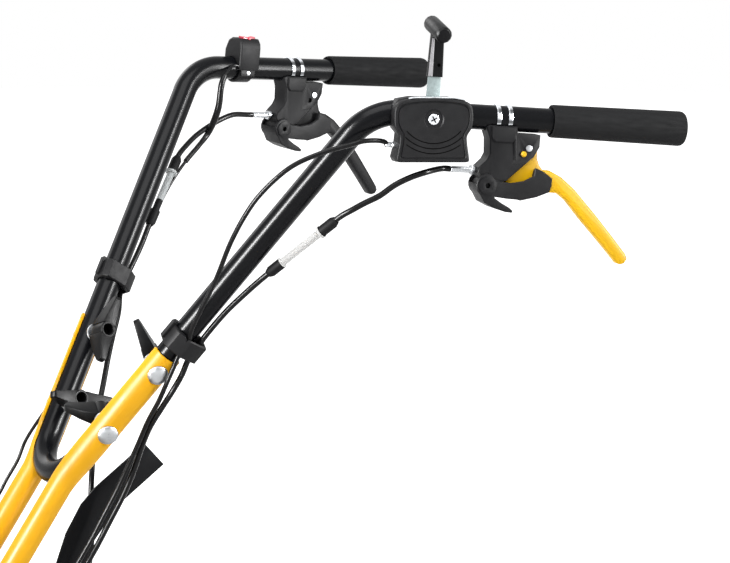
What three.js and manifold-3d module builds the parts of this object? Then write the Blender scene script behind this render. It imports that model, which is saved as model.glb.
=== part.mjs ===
// Walk-behind leaf blower with a bent tube handlebar, in millimetres.
// X points forward, Y to the operator's left and Z up; the origin is on the ground under the middle.
import * as THREE from 'three';
import { mergeVertices } from 'three/addons/utils/BufferGeometryUtils.js';
import Module from 'manifold-3d';

const wasm = await Module();
wasm.setup();

const degree = Math.PI / 180;

// Handlebar
const cornerHeight = 1010;
const handleHalfWidth = 221.4;
const handleTube = 25;
const handleWall = 2;
const gripSplay = 11.5 * degree;
const gripDrop = 5 * degree;
const handleSlope = 56.1 * degree;
const legTaper = 21.9 * degree;
const cornerBend = 57;
const bottomBend = 54.6;
const barLength = 319.5;
const tubeSides = 12;

// Grips
const gripStart = 183.6;
const gripLength = 140.5;
const gripFront = 32.6;
const gripBack = 34.8;
const gripRound = 2.5;
const gripSides = 20;

// Clearances
const gap = 0.3;
const overrun = 4;
const weldDepth = 0.6;

// Lever sets
const leverSetStart = 104.6;
const bracketWidth = 67.2;
const bracketDrop = 74.7;
const bracketHalf = 11.6;
const earHalf = 10;
const slotHalf = 7.4;
const leverHalf = 6.9;
const saddlePad = 2;
const leverPivotShares = [0.836, 0.367];
const lugShares = [0.226, 0.882];
const lugRadius = 8.8;
const latchWall = 2.4;
const latchCheek = 3;
const latchReach = 66.2;
const latchBevel = 0.8;
const bossRise = 1.6;
const peepRadius = 3;
const bracketBevel = 1.2;
const leverLength = 110.4;
const leverDrop = 105;
const leverRound = 3;
const leverRoll = 1.95 * degree;
const leverRests = [0, -2.5 * degree];
const leverPinRadius = 2.2;
const latchPinRadius = 2.5;
const pinHead = 1.1;
const adjusterBarrel = 6.4;
const adjusterLength = 20;
const adjusterRound = 0.8;
const adjusterNut = 10.5;
const adjusterNutWidth = 4.4;
const adjusterStud = 6;
const adjusterDrop = 52.4;
const adjusterReach = 21;

// Throttle control
const throttlePlace = 57;
const throttleDrop = 3.7;
const throttleTilt = 3 * degree;
const caseHalfWidth = 39.5;
const caseBack = 2;
const casePart = 17;
const caseFace = 27;
const caseBevel = 1.6;
const panelDepth = 0.8;
const grooveWidth = 2.2;
const grooveRadii = [20, 26.5, 33];
const grooveReaches = [62 * degree, 64 * degree, 56 * degree];
const pocketDepth = 2.6;
const pocketRadius = 31;
const bladeWall = 1.6;
const bladeDisc = 11;
const bladeTip = 12;
const bladeRise = 52;
const stemStart = 41;
const stemWidth = 15;
const stemWall = 8;
const stemSlot = 13.6;
const stemBevel = 1;
const knobDiameter = 16;
const knobLength = 50;
const knobRise = 87;
const knobRound = 2;
const throttleLean = -3 * degree;
const barTilt = 12 * degree;
const pivotScrewHead = 5.5;
const pivotScrewShank = 3;
const pivotScrewEnd = 13.4;
const pivotRecess = 9.5;
const pivotRecessDepth = 2;

// Stop switch
const switchStart = 49;
const switchLength = 27;
const switchRise = 34;
const switchFront = 17.5;
const rockerLength = 16;
const rockerWidth = 9;
const rockerHeight = 5;
const rockerPlace = 6;
const rockerClearance = 0.9;
const rockerPin = 1.5;
const strapWall = 2.6;
const strapLength = 18;
const strapPlace = 3;
const strapLug = 7;
const strapLap = 4 * degree;

// Leg clips
const clipPlaces = [302, 268];
const clipLength = 21;
const clipHalfWidth = 16;
const clipFront = 15.6;
const clipBack = 23;
const clipWall = 2.4;
const clipBevel = 1;
const clipTongue = 3;

// Lower tubes and their bolts
const lowerTube = 25.4;
const saddleWall = 2.6;
const saddleStart = 323;
const saddleEnd = 450;
const saddleFade = 5;
const kinkPlace = 489;
const kinkBend = 70;
const lowerTubeEnd = 410.5;
const boltPlaces = [342, 424];
const boltHead = 21;
const boltHeadRise = 3.4;
const boltShank = 8;
const boltSeat = 1.2;
const boltEnd = 27;
const washerRadius = 10;
const washerWall = 1.6;
const knobHub = 18;
const knobHubHeight = 27;
const knobHole = 11.6;
const knobHoleDepth = 7;
const wingReach = 36;
const wingWall = 7;
const wingBevel = 1.5;
const upperTurns = [42 * degree, 83 * degree];
const lowerTurns = [5 * degree, -22 * degree];
const leverBar = 3;
const leverBarLength = 355;

// Cords
const clutchCable = 5.4;
const throttleCable = 4.6;
const stopWire = 3.4;
const cordSides = 8;
const cordSteps = 38;
const cordLead = 7;
const cordRoom = 0.8;
const cordSpan = 1000;

// Machine body
const deckTop = 262;
const deckWall = 4;
const deckHalf = 150;
const deckFlange = 40;
const deckEnds = [345, 789.7];
const beltSlot = [754, 784];
const beltSlotHalf = 62;
const clevisHalf = 8;
const clevisWall = 4;
const clevisPlace = 346;
const clevisLength = 44;
const clevisHeight = 44.5;
const clevisPin = 4;
const socketPlace = 436;
const socketLength = 86;
const socketHeight = 83.5;
const socketHalf = 62;
const gearboxEnds = [330, 450];
const gearboxHalf = 60;
const gearboxBottom = 110;
const gearboxTop = deckTop - deckWall - gap;
const gearboxBevel = 8;
const bearingBoss = 28;
const bearingReach = 75;
const axlePlace = 390;
const axleRadius = 12.5;
const axleReach = 262;
const inputHeight = deckTop - 62;
const inputRadius = 8;
const inputBoss = 20;
const inputBossEnd = 468;
const inputEnds = [432, 786];
const pulleyEnds = [760, 778];
const pulleyRadii = [44, 54];
const pulleyGroove = 10;
const beltWall = 7;
const beltWidth = 9;
const beltLift = 0.9;
const wheelRadius = 165;
const wheelSides = 24;
const wheelInner = 175;
const wheelOuter = 260;
const frontWheel = 100;
const frontSides = 20;
const frontPlace = 1030;
const frontHalf = 25;
const forkTop = deckTop - 22;
const forkInner = 31;
const forkWall = 4;
const frontAxle = 6;
const engineEnds = [570, 745];
const engineHalf = 85;
const engineTop = deckTop + 178;
const engineBevel = 7;
const shaftHeight = deckTop + 94;
const shaftRadius = 11;
const shaftEnds = [722, 888];
const cylinderHalf = 50;
const cylinderEnds = [600, 700];
const finCount = 6;
const finPitch = 17;
const finWall = 3;
const finReach = 12;
const headTop = engineTop + 120;
const recoilRadius = 90;
const recoilEnds = [530, 569.7];
const tankEnds = [590, 725];
const tankAcross = [-150, -63];
const tankHeight = 75;
const tankBevel = 9;
const capRadius = 21;
const capRise = 16;
const mufflerEnds = [600, 705];
const mufflerAcross = [62.3, 110];
const mufflerHeight = 70;
const mufflerBevel = 10;
const mufflerPipe = 9;
const fanEnds = [790, 910];
const fanWall = 4;
const fanStart = 178;
const fanEnd = 211;
const tongueAngle = -50 * degree;
const voluteSteps = 20;
const outletReach = 250;
const outletLip = 119;
const inletRadius = 105;
const impellerRadius = 162;
const impellerHub = 25;
const impellerEnds = [803, 882];
const bladeCount = 6;
const inletHoles = 6;
const inletHub = 30;
const inletRib = 6 * degree;
const hingeOut = 9;
const hingeRise = 8;
const lugBack = 17;
const lugDrop = 13;
const flapDrop = 99;
const flapPin = 3;
const flapKnuckle = 6;
const flapInset = 9;

// Cable tensioners
const bootLength = 19;
const bootRadius = 5.6;
const bootMouth = 4;
const collarRadius = 6.4;
const collarLength = 3;
const sleeveRadius = 4;
const sleeveLength = 50;

const paint = {
  tube: [0x0c0c0e, 0.22, 0.1],
  grip: [0x262628, 0.85, 0],
  plastic: [0x39393c, 0.6, 0],
  knob: [0x2c2c2f, 0.5, 0],
  yellow: [0xf5b41c, 0.3, 0.1],
  steel: [0x8d9094, 0.4, 0.8],
  cast: [0x9a9c9e, 0.55, 0.6],
  tyre: [0x1c1c1d, 0.9, 0],
  engine: [0x2f3133, 0.55, 0.2],
  lever: [0xffc414, 0.45, 0],
  zinc: [0xc9cdd0, 0.35, 0.9],
  cable: [0x161618, 0.5, 0],
  sleeve: [0xe9e9e6, 0.5, 0],
  red: [0xd63a46, 0.45, 0],
};

const machine = new THREE.Group();

// Vectors and frames
const along = (x, y, z) => new THREE.Vector3(x, y, z);
const origin = along(0, 0, 0);
const left = along(0, 1, 0);

function sideways(vector, side) {
  return along(vector.x, vector.y * side, vector.z);
}

function frame(place, xAxis, yAxis) {
  const x = xAxis.clone().normalize();
  const z = x.clone().cross(yAxis).normalize();
  const y = z.clone().cross(x);
  return new THREE.Matrix4().makeBasis(x, y, z).setPosition(place);
}

// A frame whose Z lies exactly on the given axis
function axle(place, zAxis, xHint = left) {
  const z = zAxis.clone().normalize();
  const y = z.clone().cross(xHint).normalize();
  return new THREE.Matrix4().makeBasis(y.clone().cross(z), y, z).setPosition(place);
}

function offset(place, ...steps) {
  const result = place.clone();
  for (const [direction, length] of steps) {
    result.addScaledVector(direction, length);
  }
  return result;
}

// Solids
function solid(geometry) {
  const bare = geometry.clone();
  for (const name of Object.keys(bare.attributes)) {
    if (name !== 'position') bare.deleteAttribute(name);
  }
  const merged = mergeVertices(bare, 1e-4);
  const corners = merged.getAttribute('position');
  const faces = [];
  const index = merged.getIndex().array;
  let volume = 0;
  const points = [along(0, 0, 0), along(0, 0, 0), along(0, 0, 0)];
  for (let i = 0; i < index.length; i += 3) {
    const face = [index[i], index[i + 1], index[i + 2]];
    if (face[0] === face[1] || face[1] === face[2] || face[2] === face[0]) continue;
    face.forEach((corner, k) => points[k].fromBufferAttribute(corners, corner));
    volume += points[0].dot(points[1].clone().cross(points[2]));
    faces.push(face);
  }
  if (volume < 0) faces.forEach((face) => face.reverse());
  return new wasm.Manifold(new wasm.Mesh({
    numProp: 3,
    vertProperties: new Float32Array(corners.array),
    triVerts: new Uint32Array(faces.flat()),
  }));
}

function join(first, ...others) {
  return others.reduce((sum, other) => sum.add(other), first);
}

function cut(first, ...others) {
  return others.reduce((rest, other) => rest.subtract(other), first);
}

function placed(body, matrix) {
  return body.transform(matrix.elements);
}

function geometryOf(body) {
  const { vertProperties, triVerts } = body.getMesh();
  const geometry = new THREE.BufferGeometry();
  geometry.setAttribute('position', new THREE.BufferAttribute(new Float32Array(vertProperties), 3));
  geometry.setIndex(new THREE.BufferAttribute(new Uint32Array(triVerts), 1));
  geometry.computeVertexNormals();
  return geometry;
}

function piece(name, body, [color, roughness, metalness], matrix = new THREE.Matrix4(), parent = machine) {
  const material = new THREE.MeshStandardMaterial({ color, roughness, metalness, flatShading: true });
  const mesh = new THREE.Mesh(geometryOf(body), material);
  mesh.name = name;
  matrix.decompose(mesh.position, mesh.quaternion, mesh.scale);
  parent.add(mesh);
  return mesh;
}

// Outlines
const flat = (points) => points.map(([x, y]) => new THREE.Vector2(x, y));

function scaled(shares, width, height) {
  return shares.map(([x, y]) => [x * width, y * height]);
}

function arc(centre, radius, start, end, steps) {
  const points = [];
  for (let i = 0; i <= steps; i += 1) {
    const angle = start + (end - start) * i / steps;
    points.push([centre[0] + radius * Math.cos(angle), centre[1] + radius * Math.sin(angle)]);
  }
  return points;
}

function circle(radius, sides, centre = [0, 0]) {
  return arc(centre, radius, 0, 2 * Math.PI * (1 - 1 / sides), sides - 1);
}

function box(x0, y0, x1, y1) {
  return [[x0, y0], [x1, y0], [x1, y1], [x0, y1]];
}

function plate(points, z0, z1, bevel = 0, bevelSteps = 1) {
  const geometry = new THREE.ExtrudeGeometry(new THREE.Shape(flat(points)), {
    depth: z1 - z0 - 2 * bevel,
    bevelEnabled: bevel > 0,
    bevelThickness: bevel,
    bevelSize: bevel,
    bevelOffset: -bevel,
    bevelSegments: bevelSteps,
    steps: 1,
  });
  return solid(geometry.translate(0, 0, z0 + bevel));
}

function turned(profile, sides) {
  return solid(new THREE.LatheGeometry(flat(profile), sides).rotateX(Math.PI / 2));
}

function drum(radius, z0, z1, sides, centre = [0, 0]) {
  return plate(circle(radius, sides, centre), z0, z1);
}

// The radius that keeps a bore of so many sides clear of a round bar
function boreRadius(radius, sides) {
  return (radius + gap) / Math.cos(Math.PI / sides);
}

// A line through points with a true bend at each inner one
class BentPath extends THREE.Curve {
  constructor(points, radii, bendSteps) {
    super();
    const heading = (i) => points[i + 1].clone().sub(points[i]).normalize();
    this.stations = [{ place: points[0], tangent: heading(0) }];
    for (let i = 1; i < points.length - 1; i += 1) {
      const into = heading(i - 1);
      const turn = into.angleTo(heading(i));
      const axis = into.clone().cross(heading(i)).normalize();
      const radius = radii[i - 1];
      const inward = axis.clone().cross(into);
      const start = points[i].clone().addScaledVector(into, -radius * Math.tan(turn / 2));
      const centre = start.addScaledVector(inward, radius);
      for (let k = 0; k <= bendSteps[i - 1]; k += 1) {
        const angle = turn * k / bendSteps[i - 1];
        const arm = inward.clone().applyAxisAngle(axis, angle);
        this.stations.push({
          place: centre.clone().addScaledVector(arm, -radius),
          tangent: into.clone().applyAxisAngle(axis, angle),
        });
      }
    }
    this.stations.push({ place: points.at(-1), tangent: heading(points.length - 2) });
  }

  get steps() {
    return this.stations.length - 1;
  }

  getSpacedPoints() {
    return this.stations.map((station) => station.place.clone());
  }

  getPointAt(share) {
    return this.stations[Math.round(share * this.steps)].place.clone();
  }

  getTangentAt(share) {
    return this.stations[Math.round(share * this.steps)].tangent.clone();
  }
}

function sweep(outline, path, steps, hole = null) {
  const shape = new THREE.Shape(flat(outline));
  if (hole) shape.holes.push(new THREE.Path(flat(hole)));
  return solid(new THREE.ExtrudeGeometry(shape, { extrudePath: path, steps }));
}

// A closed body through rings of equal count, with flat ends
function skin(rings, endOutlines) {
  const count = rings[0].length;
  const faces = [];
  for (let i = 0; i < rings.length - 1; i += 1) {
    for (let k = 0; k < count; k += 1) {
      const next = (k + 1) % count;
      const [a, b] = [i * count + k, i * count + next];
      faces.push([a, b, b + count], [a, b + count, a + count]);
    }
  }
  const ends = [0, rings.length - 1];
  ends.forEach((ring, end) => {
    const outline = flat(endOutlines[end]);
    const turn = THREE.ShapeUtils.area(outline);
    const lift = ring * count;
    THREE.ShapeUtils.triangulateShape(outline, []).forEach(([a, b, c]) => {
      const same = THREE.ShapeUtils.area([outline[a], outline[b], outline[c]]) * turn > 0;
      const face = [a + lift, b + lift, c + lift];
      faces.push(same === end > 0 ? face : face.reverse());
    });
  });
  const geometry = new THREE.BufferGeometry().setFromPoints(rings.flat());
  geometry.setIndex(faces.flat());
  return solid(geometry);
}

// Handlebar lines, for the side that Y points to
const barRun = along(-Math.cos(gripDrop) * Math.cos(gripSplay), Math.cos(gripDrop) * Math.sin(gripSplay),
  -Math.sin(gripDrop));
const planeDown = along(Math.cos(handleSlope), 0, -Math.sin(handleSlope));
const planeUp = along(Math.sin(handleSlope), 0, Math.cos(handleSlope));
const legRun = planeDown.clone().multiplyScalar(Math.cos(legTaper))
  .addScaledVector(left, -Math.sin(legTaper));
const legOut = left.clone().multiplyScalar(Math.cos(legTaper)).addScaledVector(planeDown, Math.sin(legTaper));
const cornerPoint = along(0, handleHalfWidth, cornerHeight);
const legFull = handleHalfWidth / Math.sin(legTaper);
const apexPoint = offset(cornerPoint, [legRun, legFull]);

const sides = { left: 1, right: -1 };

function legPoint(side, down, out = 0, up = 0) {
  return sideways(offset(cornerPoint, [legRun, down], [legOut, out], [planeUp, up]), side);
}

const barEnd = offset(cornerPoint, [barRun, barLength]);
const handleLine = [barEnd, cornerPoint, apexPoint, sideways(cornerPoint, -1), sideways(barEnd, -1)];
const handlePath = new BentPath(handleLine, [cornerBend, bottomBend, cornerBend], [6, 10, 6]);

function buildHandlebar() {
  const inner = circle(handleTube / 2 - handleWall, tubeSides / 2);
  const body = sweep(circle(handleTube / 2, tubeSides), handlePath, handlePath.steps, inner);
  const holes = ['left', 'right'].flatMap((name) => boltPlaces.map((down) => placed(
    drum(boreRadius(boltShank / 2, 8), -handleTube, handleTube, 8), boltFrame(sides[name], down),
  )));
  piece('handlebar_tube', cut(body, ...holes), paint.tube);
}

function buildGrip(name, side) {
  const bore = boreRadius(handleTube / 2, gripSides);
  const [front, back] = [gripFront / 2, gripBack / 2];
  const floor = barLength - gripStart + gap;
  const profile = [
    [0, floor], [bore, floor], [bore, 0], [front - gripRound, 0], [front, gripRound],
    [back, gripLength - 2 * gripRound], [back - gripRound, gripLength], [0, gripLength],
  ];
  const place = sideways(offset(cornerPoint, [barRun, gripStart]), side);
  piece(name, turned(profile, gripSides), paint.grip, axle(place, sideways(barRun, side)));
}

// The room that the handlebar needs, for the pieces that seat on it
const handleRing = circle(boreRadius(handleTube / 2, tubeSides), tubeSides);
const handleRoom = sweep(handleRing, handlePath, handlePath.steps);

function clearOfHandle(body, matrix) {
  return cut(body, placed(handleRoom, matrix.clone().invert()));
}

// Lever sets, drawn with X along the bar to the grip, Y up and Z to the left
function barFrame(side, start) {
  const run = sideways(barRun, side);
  const place = sideways(offset(cornerPoint, [barRun, start]), side);
  const out = left.clone().addScaledVector(run, -run.dot(left)).normalize();
  const up = out.cross(run).applyAxisAngle(run, -side * leverRoll);
  return frame(place, run, up);
}

const alongX = new THREE.Matrix4().makeRotationY(Math.PI / 2);
const alongY = new THREE.Matrix4().makeRotationX(-Math.PI / 2);
const sectionY = new THREE.Matrix4().makeBasis(along(1, 0, 0), along(0, 0, 1), along(0, -1, 0));
const sectionX = new THREE.Matrix4().makeBasis(along(0, 1, 0), along(0, 0, 1), along(1, 0, 0));
const shifted = (x, y, z = 0) => new THREE.Matrix4().makeTranslation(x, y, z);

const hung = (shares, width, drop) => scaled(shares, width, -drop);
const leverPivot = hung([leverPivotShares], bracketWidth, bracketDrop)[0];
const lugCentre = hung([lugShares], bracketWidth, bracketDrop)[0];

const bracketShares = [
  [0.19, 0.08], [0.63, 0.08], [0.65, 0.18], [1, 0.185], [0.997, 0.345], [0.92, 0.478], [0.522, 0.811],
];
const bracketFrontShares = [
  [0.075, 0.72], [0.083, 0.656], [0.198, 0.549], [0.24, 0.469], [0.225, 0.27], [0.16, 0.12],
];
const ridgeShares = [[0.66, 0], [1.1, 0], [1.1, 0.56], [0.86, 0.56], [0.59, 0.6]];
const slotShares = [[0.4, 0.215], [1.1, 0.215], [1.1, 1.2], [0.4, 1.2]];
const padShares = [[0.24, 0.1], [0.62, 0.1], [0.61, 0.25], [0.57, 0.31], [0.3, 0.31], [0.25, 0.25]];
const peepShares = [0.76, 0.449];

function barHole(length) {
  return placed(drum(boreRadius(handleTube / 2, 16), -length, length, 16), alongX);
}

function bracketBody() {
  const lug = arc(lugCentre, lugRadius, 0.1 * Math.PI, -1.25 * Math.PI, 11);
  const front = hung(bracketFrontShares, bracketWidth, bracketDrop);
  const outline = [...hung(bracketShares, bracketWidth, bracketDrop), ...lug, ...front];
  const pad = hung(padShares, bracketWidth, bracketDrop);
  const ridge = hung(ridgeShares, bracketWidth, bracketDrop);
  const padOuter = bracketHalf + saddlePad;
  const stud = drum(boreRadius(adjusterStud / 2, 8), -overrun, slotShares[0][0] * bracketWidth + overrun, 8);
  return cut(
    join(
      plate(outline, -bracketHalf, bracketHalf, bracketBevel),
      plate(pad, -padOuter, padOuter, saddlePad / 2),
    ),
    plate(ridge, earHalf, bracketHalf + overrun),
    plate(ridge, -bracketHalf - overrun, -earHalf),
    plate(hung(slotShares, bracketWidth, bracketDrop), -slotHalf, slotHalf),
    barHole(2 * bracketWidth),
    placed(stud, shifted(0, -adjusterDrop).multiply(alongX)),
    drum(peepRadius, 0, bracketHalf + overrun, 8, hung([peepShares], bracketWidth, bracketDrop)[0]),
    drum(leverPinRadius + gap, -bracketHalf - overrun, bracketHalf + overrun, 8, leverPivot),
    drum(latchPinRadius + gap, -bracketHalf - overrun, bracketHalf + overrun, 8, lugCentre),
  );
}

// The hand lever, in shares of its reach past the pivot and of its drop below it
const leverRootShares = [
  [-0.185, 0.328], [-0.135, 0.215], [-0.092, 0.082], [-0.082, -0.033], [-0.045, -0.08], [0.016, -0.09],
  [0.07, -0.06], [0.093, 0.006], [0.102, 0.1], [0.125, 0.158],
];
const leverTopShares = [
  [0.162, 0.203], [0.225, 0.203], [0.342, 0.26], [0.474, 0.369], [0.7, 0.608], [0.871, 0.8], [1.006, 0.957],
];
const leverTipShares = [[1.026, 1.001], [1.003, 1.045], [0.965, 1.06], [0.932, 1.05]];
const leverUnderShares = [
  [0.787, 0.892], [0.549, 0.641], [0.402, 0.476], [0.318, 0.412], [0.205, 0.409], [0.034, 0.41],
  [-0.1, 0.387],
];

function leverBody() {
  const shares = [...leverRootShares, ...leverTopShares, ...leverTipShares, ...leverUnderShares];
  const body = plate(hung(shares, leverLength, leverDrop), -leverHalf, leverHalf, leverRound, 2);
  return cut(body, drum(leverPinRadius + gap, -leverHalf - overrun, leverHalf + overrun, 8));
}

// The latch hooks round the bracket's lug and runs beside the lever, in shares of its reach
const latchTopShares = [
  [0.11, -0.097], [0.16, -0.074], [0.36, -0.053], [0.567, -0.094], [0.71, -0.176], [0.724, -0.297],
  [0.86, -0.248], [1, -0.153],
];
const latchUnderShares = [
  [0.997, -0.044], [0.97, 0.052], [0.77, 0.138], [0.524, 0.2], [0.467, 0.188], [0.315, 0.183], [0.124, 0.164],
];
const hookShares = [
  [0.13, 0.185], [0.24, 0.252], [0.36, 0.312], [0.42, 0.358], [0.406, 0.388], [0.3, 0.38], [0.133, 0.335],
  [-0.03, 0.26],
];
const latchRoomShares = [
  [0, -0.4], [1.1, -0.4], [1.1, 0.3], [0.6, 0.3], [0.3, 0.21], [0.14, 0.172], [0.1, 0.09], [0, 0],
];
const latchPadShares = [[0.73, -0.27], [0.86, -0.23], [0.98, -0.14], [0.95, 0.04], [0.77, 0.12], [0.7, -0.1]];

function latchBody() {
  const rim = lugRadius + gap + latchWall;
  const round = arc([0, 0], rim, -0.7 * Math.PI, -1.58 * Math.PI, 8);
  const arm = hung([...latchTopShares, ...latchUnderShares, ...hookShares], latchReach, latchReach);
  const inner = bracketHalf + gap;
  const outer = inner + latchCheek;
  const pad = hung(latchPadShares, latchReach, latchReach);
  const open = cut(
    plate([...arm, ...round], -outer, outer, latchBevel),
    drum(lugRadius + gap, -inner, inner, 16),
    plate(hung(latchRoomShares, latchReach, latchReach), -inner, inner),
    plate(box(-2 * rim, latchWall / 2, rim, 2 * rim), -inner, inner),
  );
  return cut(
    join(
      open,
      drum(lugRadius, outer - weldDepth, outer + bossRise, 16),
      plate(pad, slotHalf, inner + weldDepth),
      plate(pad, -inner - weldDepth, -slotHalf),
    ),
    drum(latchPinRadius + gap, -outer - overrun, outer + bossRise + overrun, 8),
  );
}

// The pin has a head over each face
function pinBody(radius, reach) {
  const head = reach + gap;
  return join(
    drum(radius, -head - weldDepth, head + weldDepth, 10),
    drum(radius + pinHead, head, head + pinHead, 10),
    drum(radius + pinHead, -head - pinHead, -head, 10),
  );
}

function adjusterBody() {
  const nutStart = adjusterLength;
  const nutEnd = nutStart + adjusterNutWidth;
  const barrel = turned([
    [0, 0], [adjusterBarrel / 2 - adjusterRound, 0], [adjusterBarrel / 2, adjusterRound],
    [adjusterBarrel / 2, nutStart + weldDepth], [adjusterStud / 2, nutStart + weldDepth],
    [adjusterStud / 2, nutEnd + adjusterReach], [0, nutEnd + adjusterReach],
  ], 10);
  const bracketFace = bracketFrontShares[0][0] * bracketWidth - gap;
  const body = join(barrel, drum(adjusterNut / 2, nutStart, nutEnd, 6));
  return placed(body, shifted(bracketFace - nutEnd, -adjusterDrop).multiply(alongX));
}

function buildLeverSet(name, side, rest, leverPaint) {
  const set = barFrame(side, leverSetStart);
  const at = ([x, y]) => set.clone().multiply(shifted(x, y));
  piece(`lever_bracket_${name}`, bracketBody(), paint.plastic, set);
  const leverPlace = at(leverPivot).multiply(new THREE.Matrix4().makeRotationZ(rest));
  piece(`clutch_lever_${name}`, leverBody(), leverPaint, leverPlace);
  piece(`lock_latch_${name}`, latchBody(), paint.plastic, at(lugCentre));
  piece(`lever_pin_${name}`, pinBody(leverPinRadius, earHalf), paint.zinc, at(leverPivot));
  piece(`cable_adjuster_${name}`, adjusterBody(), paint.zinc, set);
}

// Throttle control on the left bar
const throttleFrame = barFrame(1, throttlePlace).multiply(shifted(0, -throttleDrop));
throttleFrame.multiply(new THREE.Matrix4().makeRotationZ(throttleTilt));

const caseShares = [
  [0.506, 0.539], [0.835, 0.481], [0.975, 0.329], [1, 0.127], [0.987, -0.177], [0.823, -0.367],
  [0.848, -0.633], [0.924, -0.962], [0.873, -1.063],
];
const panelShares = [
  [0.48, 0.45], [0.79, 0.4], [0.89, 0.29], [0.91, 0.11], [0.895, -0.15], [0.73, -0.33],
  [0.755, -0.66], [0.82, -0.97],
];
const caseCableShares = [-0.88, -0.65, 0.27];

function mirrored(shares, size) {
  const half = scaled(shares, size, size);
  return [...half, ...half.map(([x, y]) => [-x, y]).reverse()];
}

function ringSector(radius, width, middle, reach, steps) {
  const [start, end] = [middle - reach, middle + reach];
  return [
    ...arc([0, 0], radius + width / 2, start, end, steps),
    ...arc([0, 0], radius - width / 2, end, start, steps),
  ];
}

function buildThrottle() {
  const outline = mirrored(caseShares, caseHalfWidth);
  const shank = pivotScrewShank + gap;
  const inner = cut(
    plate(outline, -caseBack, casePart - gap / 2, caseBevel),
    drum(pocketRadius, casePart - pocketDepth, casePart + overrun, 24),
    drum(shank, 0, caseFace, 8),
  );
  const face = caseFace - panelDepth;
  const grooves = grooveRadii.map((radius, i) => plate(
    ringSector(radius, grooveWidth, -Math.PI / 2, grooveReaches[i], 8), face - panelDepth, caseFace,
  ));
  const cover = cut(
    plate(outline, casePart + gap / 2, caseFace, caseBevel),
    plate(mirrored(panelShares, caseHalfWidth), face, caseFace + overrun),
    drum(pivotRecess, face - pivotRecessDepth, caseFace, 16),
    drum(shank, casePart, caseFace, 8),
    ...grooves,
  );
  const bladeBack = casePart - pocketDepth + weldDepth;
  const bladeFace = bladeBack + bladeWall;
  const rootAngle = Math.PI / 2 - Math.asin(stemWidth / 2 / bladeDisc);
  const root = arc([0, 0], bladeDisc, Math.PI - rootAngle, 2 * Math.PI + rootAngle, 14);
  const bladeOutline = [...root, [bladeTip / 2, bladeRise], [-bladeTip / 2, bladeRise]];
  const blade = cut(plate(bladeOutline, bladeBack, bladeFace), drum(shank, 0, caseFace, 8));
  const middle = (bladeBack + bladeFace) / 2;
  const stemOutline = [
    [-stemWidth / 2, stemStart], [stemWidth / 2, stemStart],
    [bladeTip / 2, knobRise], [-bladeTip / 2, knobRise],
  ];
  const bar = plate(circle(knobDiameter / 2, 14), -knobLength / 2, knobLength / 2, knobRound);
  const tilted = shifted(0, knobRise, middle).multiply(new THREE.Matrix4().makeRotationX(barTilt));
  const knob = cut(
    join(plate(stemOutline, middle - stemWall / 2, middle + stemWall / 2, stemBevel), placed(bar, tilted)),
    plate(box(-stemSlot / 2, 0, stemSlot / 2, bladeRise + gap), bladeBack - gap, bladeFace + gap),
  );
  const headFloor = face - pivotRecessDepth + gap;
  const screw = join(
    drum(pivotScrewShank, pivotScrewEnd, headFloor + weldDepth, 8),
    plate(circle(pivotScrewHead, 12), headFloor, headFloor + pivotRecessDepth, weldDepth),
  );
  piece('throttle_case_inner', clearOfHandle(inner, throttleFrame), paint.plastic, throttleFrame);
  piece('throttle_case_cover', cover, paint.plastic, throttleFrame);
  const leaning = throttleFrame.clone().multiply(new THREE.Matrix4().makeRotationZ(throttleLean));
  piece('throttle_blade', blade, paint.zinc, leaning);
  piece('throttle_knob', knob, paint.knob, leaning);
  piece('throttle_pivot_screw', screw, paint.zinc, throttleFrame);
}

// Stop switch on the right bar, outlined across the bar
const switchShares = [
  [1, 0], [1, 0.7], [0.93, 0.87], [0.7, 1], [-0.2, 1], [-0.55, 0.9], [-0.83, 0.6], [-0.83, 0.3],
];
const rockerShares = [
  [-0.5, -0.6], [0.5, -0.6], [0.5, 0.45], [0.25, 0.2], [0, 0.12], [-0.25, 0.2], [-0.5, 0.45],
];
const switchWireShares = [0.86, 0.12];

function buildStopSwitch() {
  const set = barFrame(-1, switchStart);
  const across = new THREE.Matrix4().makeBasis(along(0, 0, 1), along(0, 1, 0), along(-1, 0, 0));
  const outline = scaled(switchShares, switchFront, switchRise);
  const rockerX = switchLength / 2 + (rockerLength - switchLength) / 2 + rockerPlace;
  const pocketReach = rockerLength / 2 + rockerClearance;
  const rockerBack = rockerPlace - rockerWidth / 2;
  const rockerFace = rockerPlace + rockerWidth / 2;
  const rockerMiddle = shifted(rockerX, switchRise);
  const body = cut(
    placed(plate(outline, -switchLength, 0, caseBevel), across),
    placed(
      plate(box(-pocketReach, -rockerHeight, pocketReach, overrun), rockerBack - gap, rockerFace + gap),
      rockerMiddle,
    ),
    placed(drum(rockerPin + gap, rockerBack - strapWall, rockerFace + strapWall, 8), rockerMiddle),
  );
  const rocker = join(
    plate(scaled(rockerShares, rockerLength, rockerHeight), rockerBack, rockerFace),
    drum(rockerPin, rockerBack - strapWall + gap, rockerFace + strapWall - gap, 8),
  );
  const ring = boreRadius(handleTube / 2, tubeSides);
  const reach = Math.asin(switchShares.at(-1)[1] * switchRise / (ring + strapWall));
  const farEnd = strapLap - Math.PI - reach;
  const strapOutline = [
    ...arc([0, 0], ring + strapWall, -degree, farEnd, 12), ...arc([0, 0], ring, farEnd, -degree, 12),
  ];
  const strap = join(
    plate(strapOutline, -strapPlace - strapLength, -strapPlace),
    plate(box(ring + weldDepth, -strapLug, switchFront, -gap), -strapPlace - strapLength, -strapPlace),
  );
  piece('stop_switch_case', clearOfHandle(body, set), paint.plastic, set);
  piece('stop_switch_rocker', rocker, paint.red, set.clone().multiply(rockerMiddle));
  piece('stop_switch_strap', clearOfHandle(placed(strap, across), set), paint.plastic, set);
}

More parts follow.
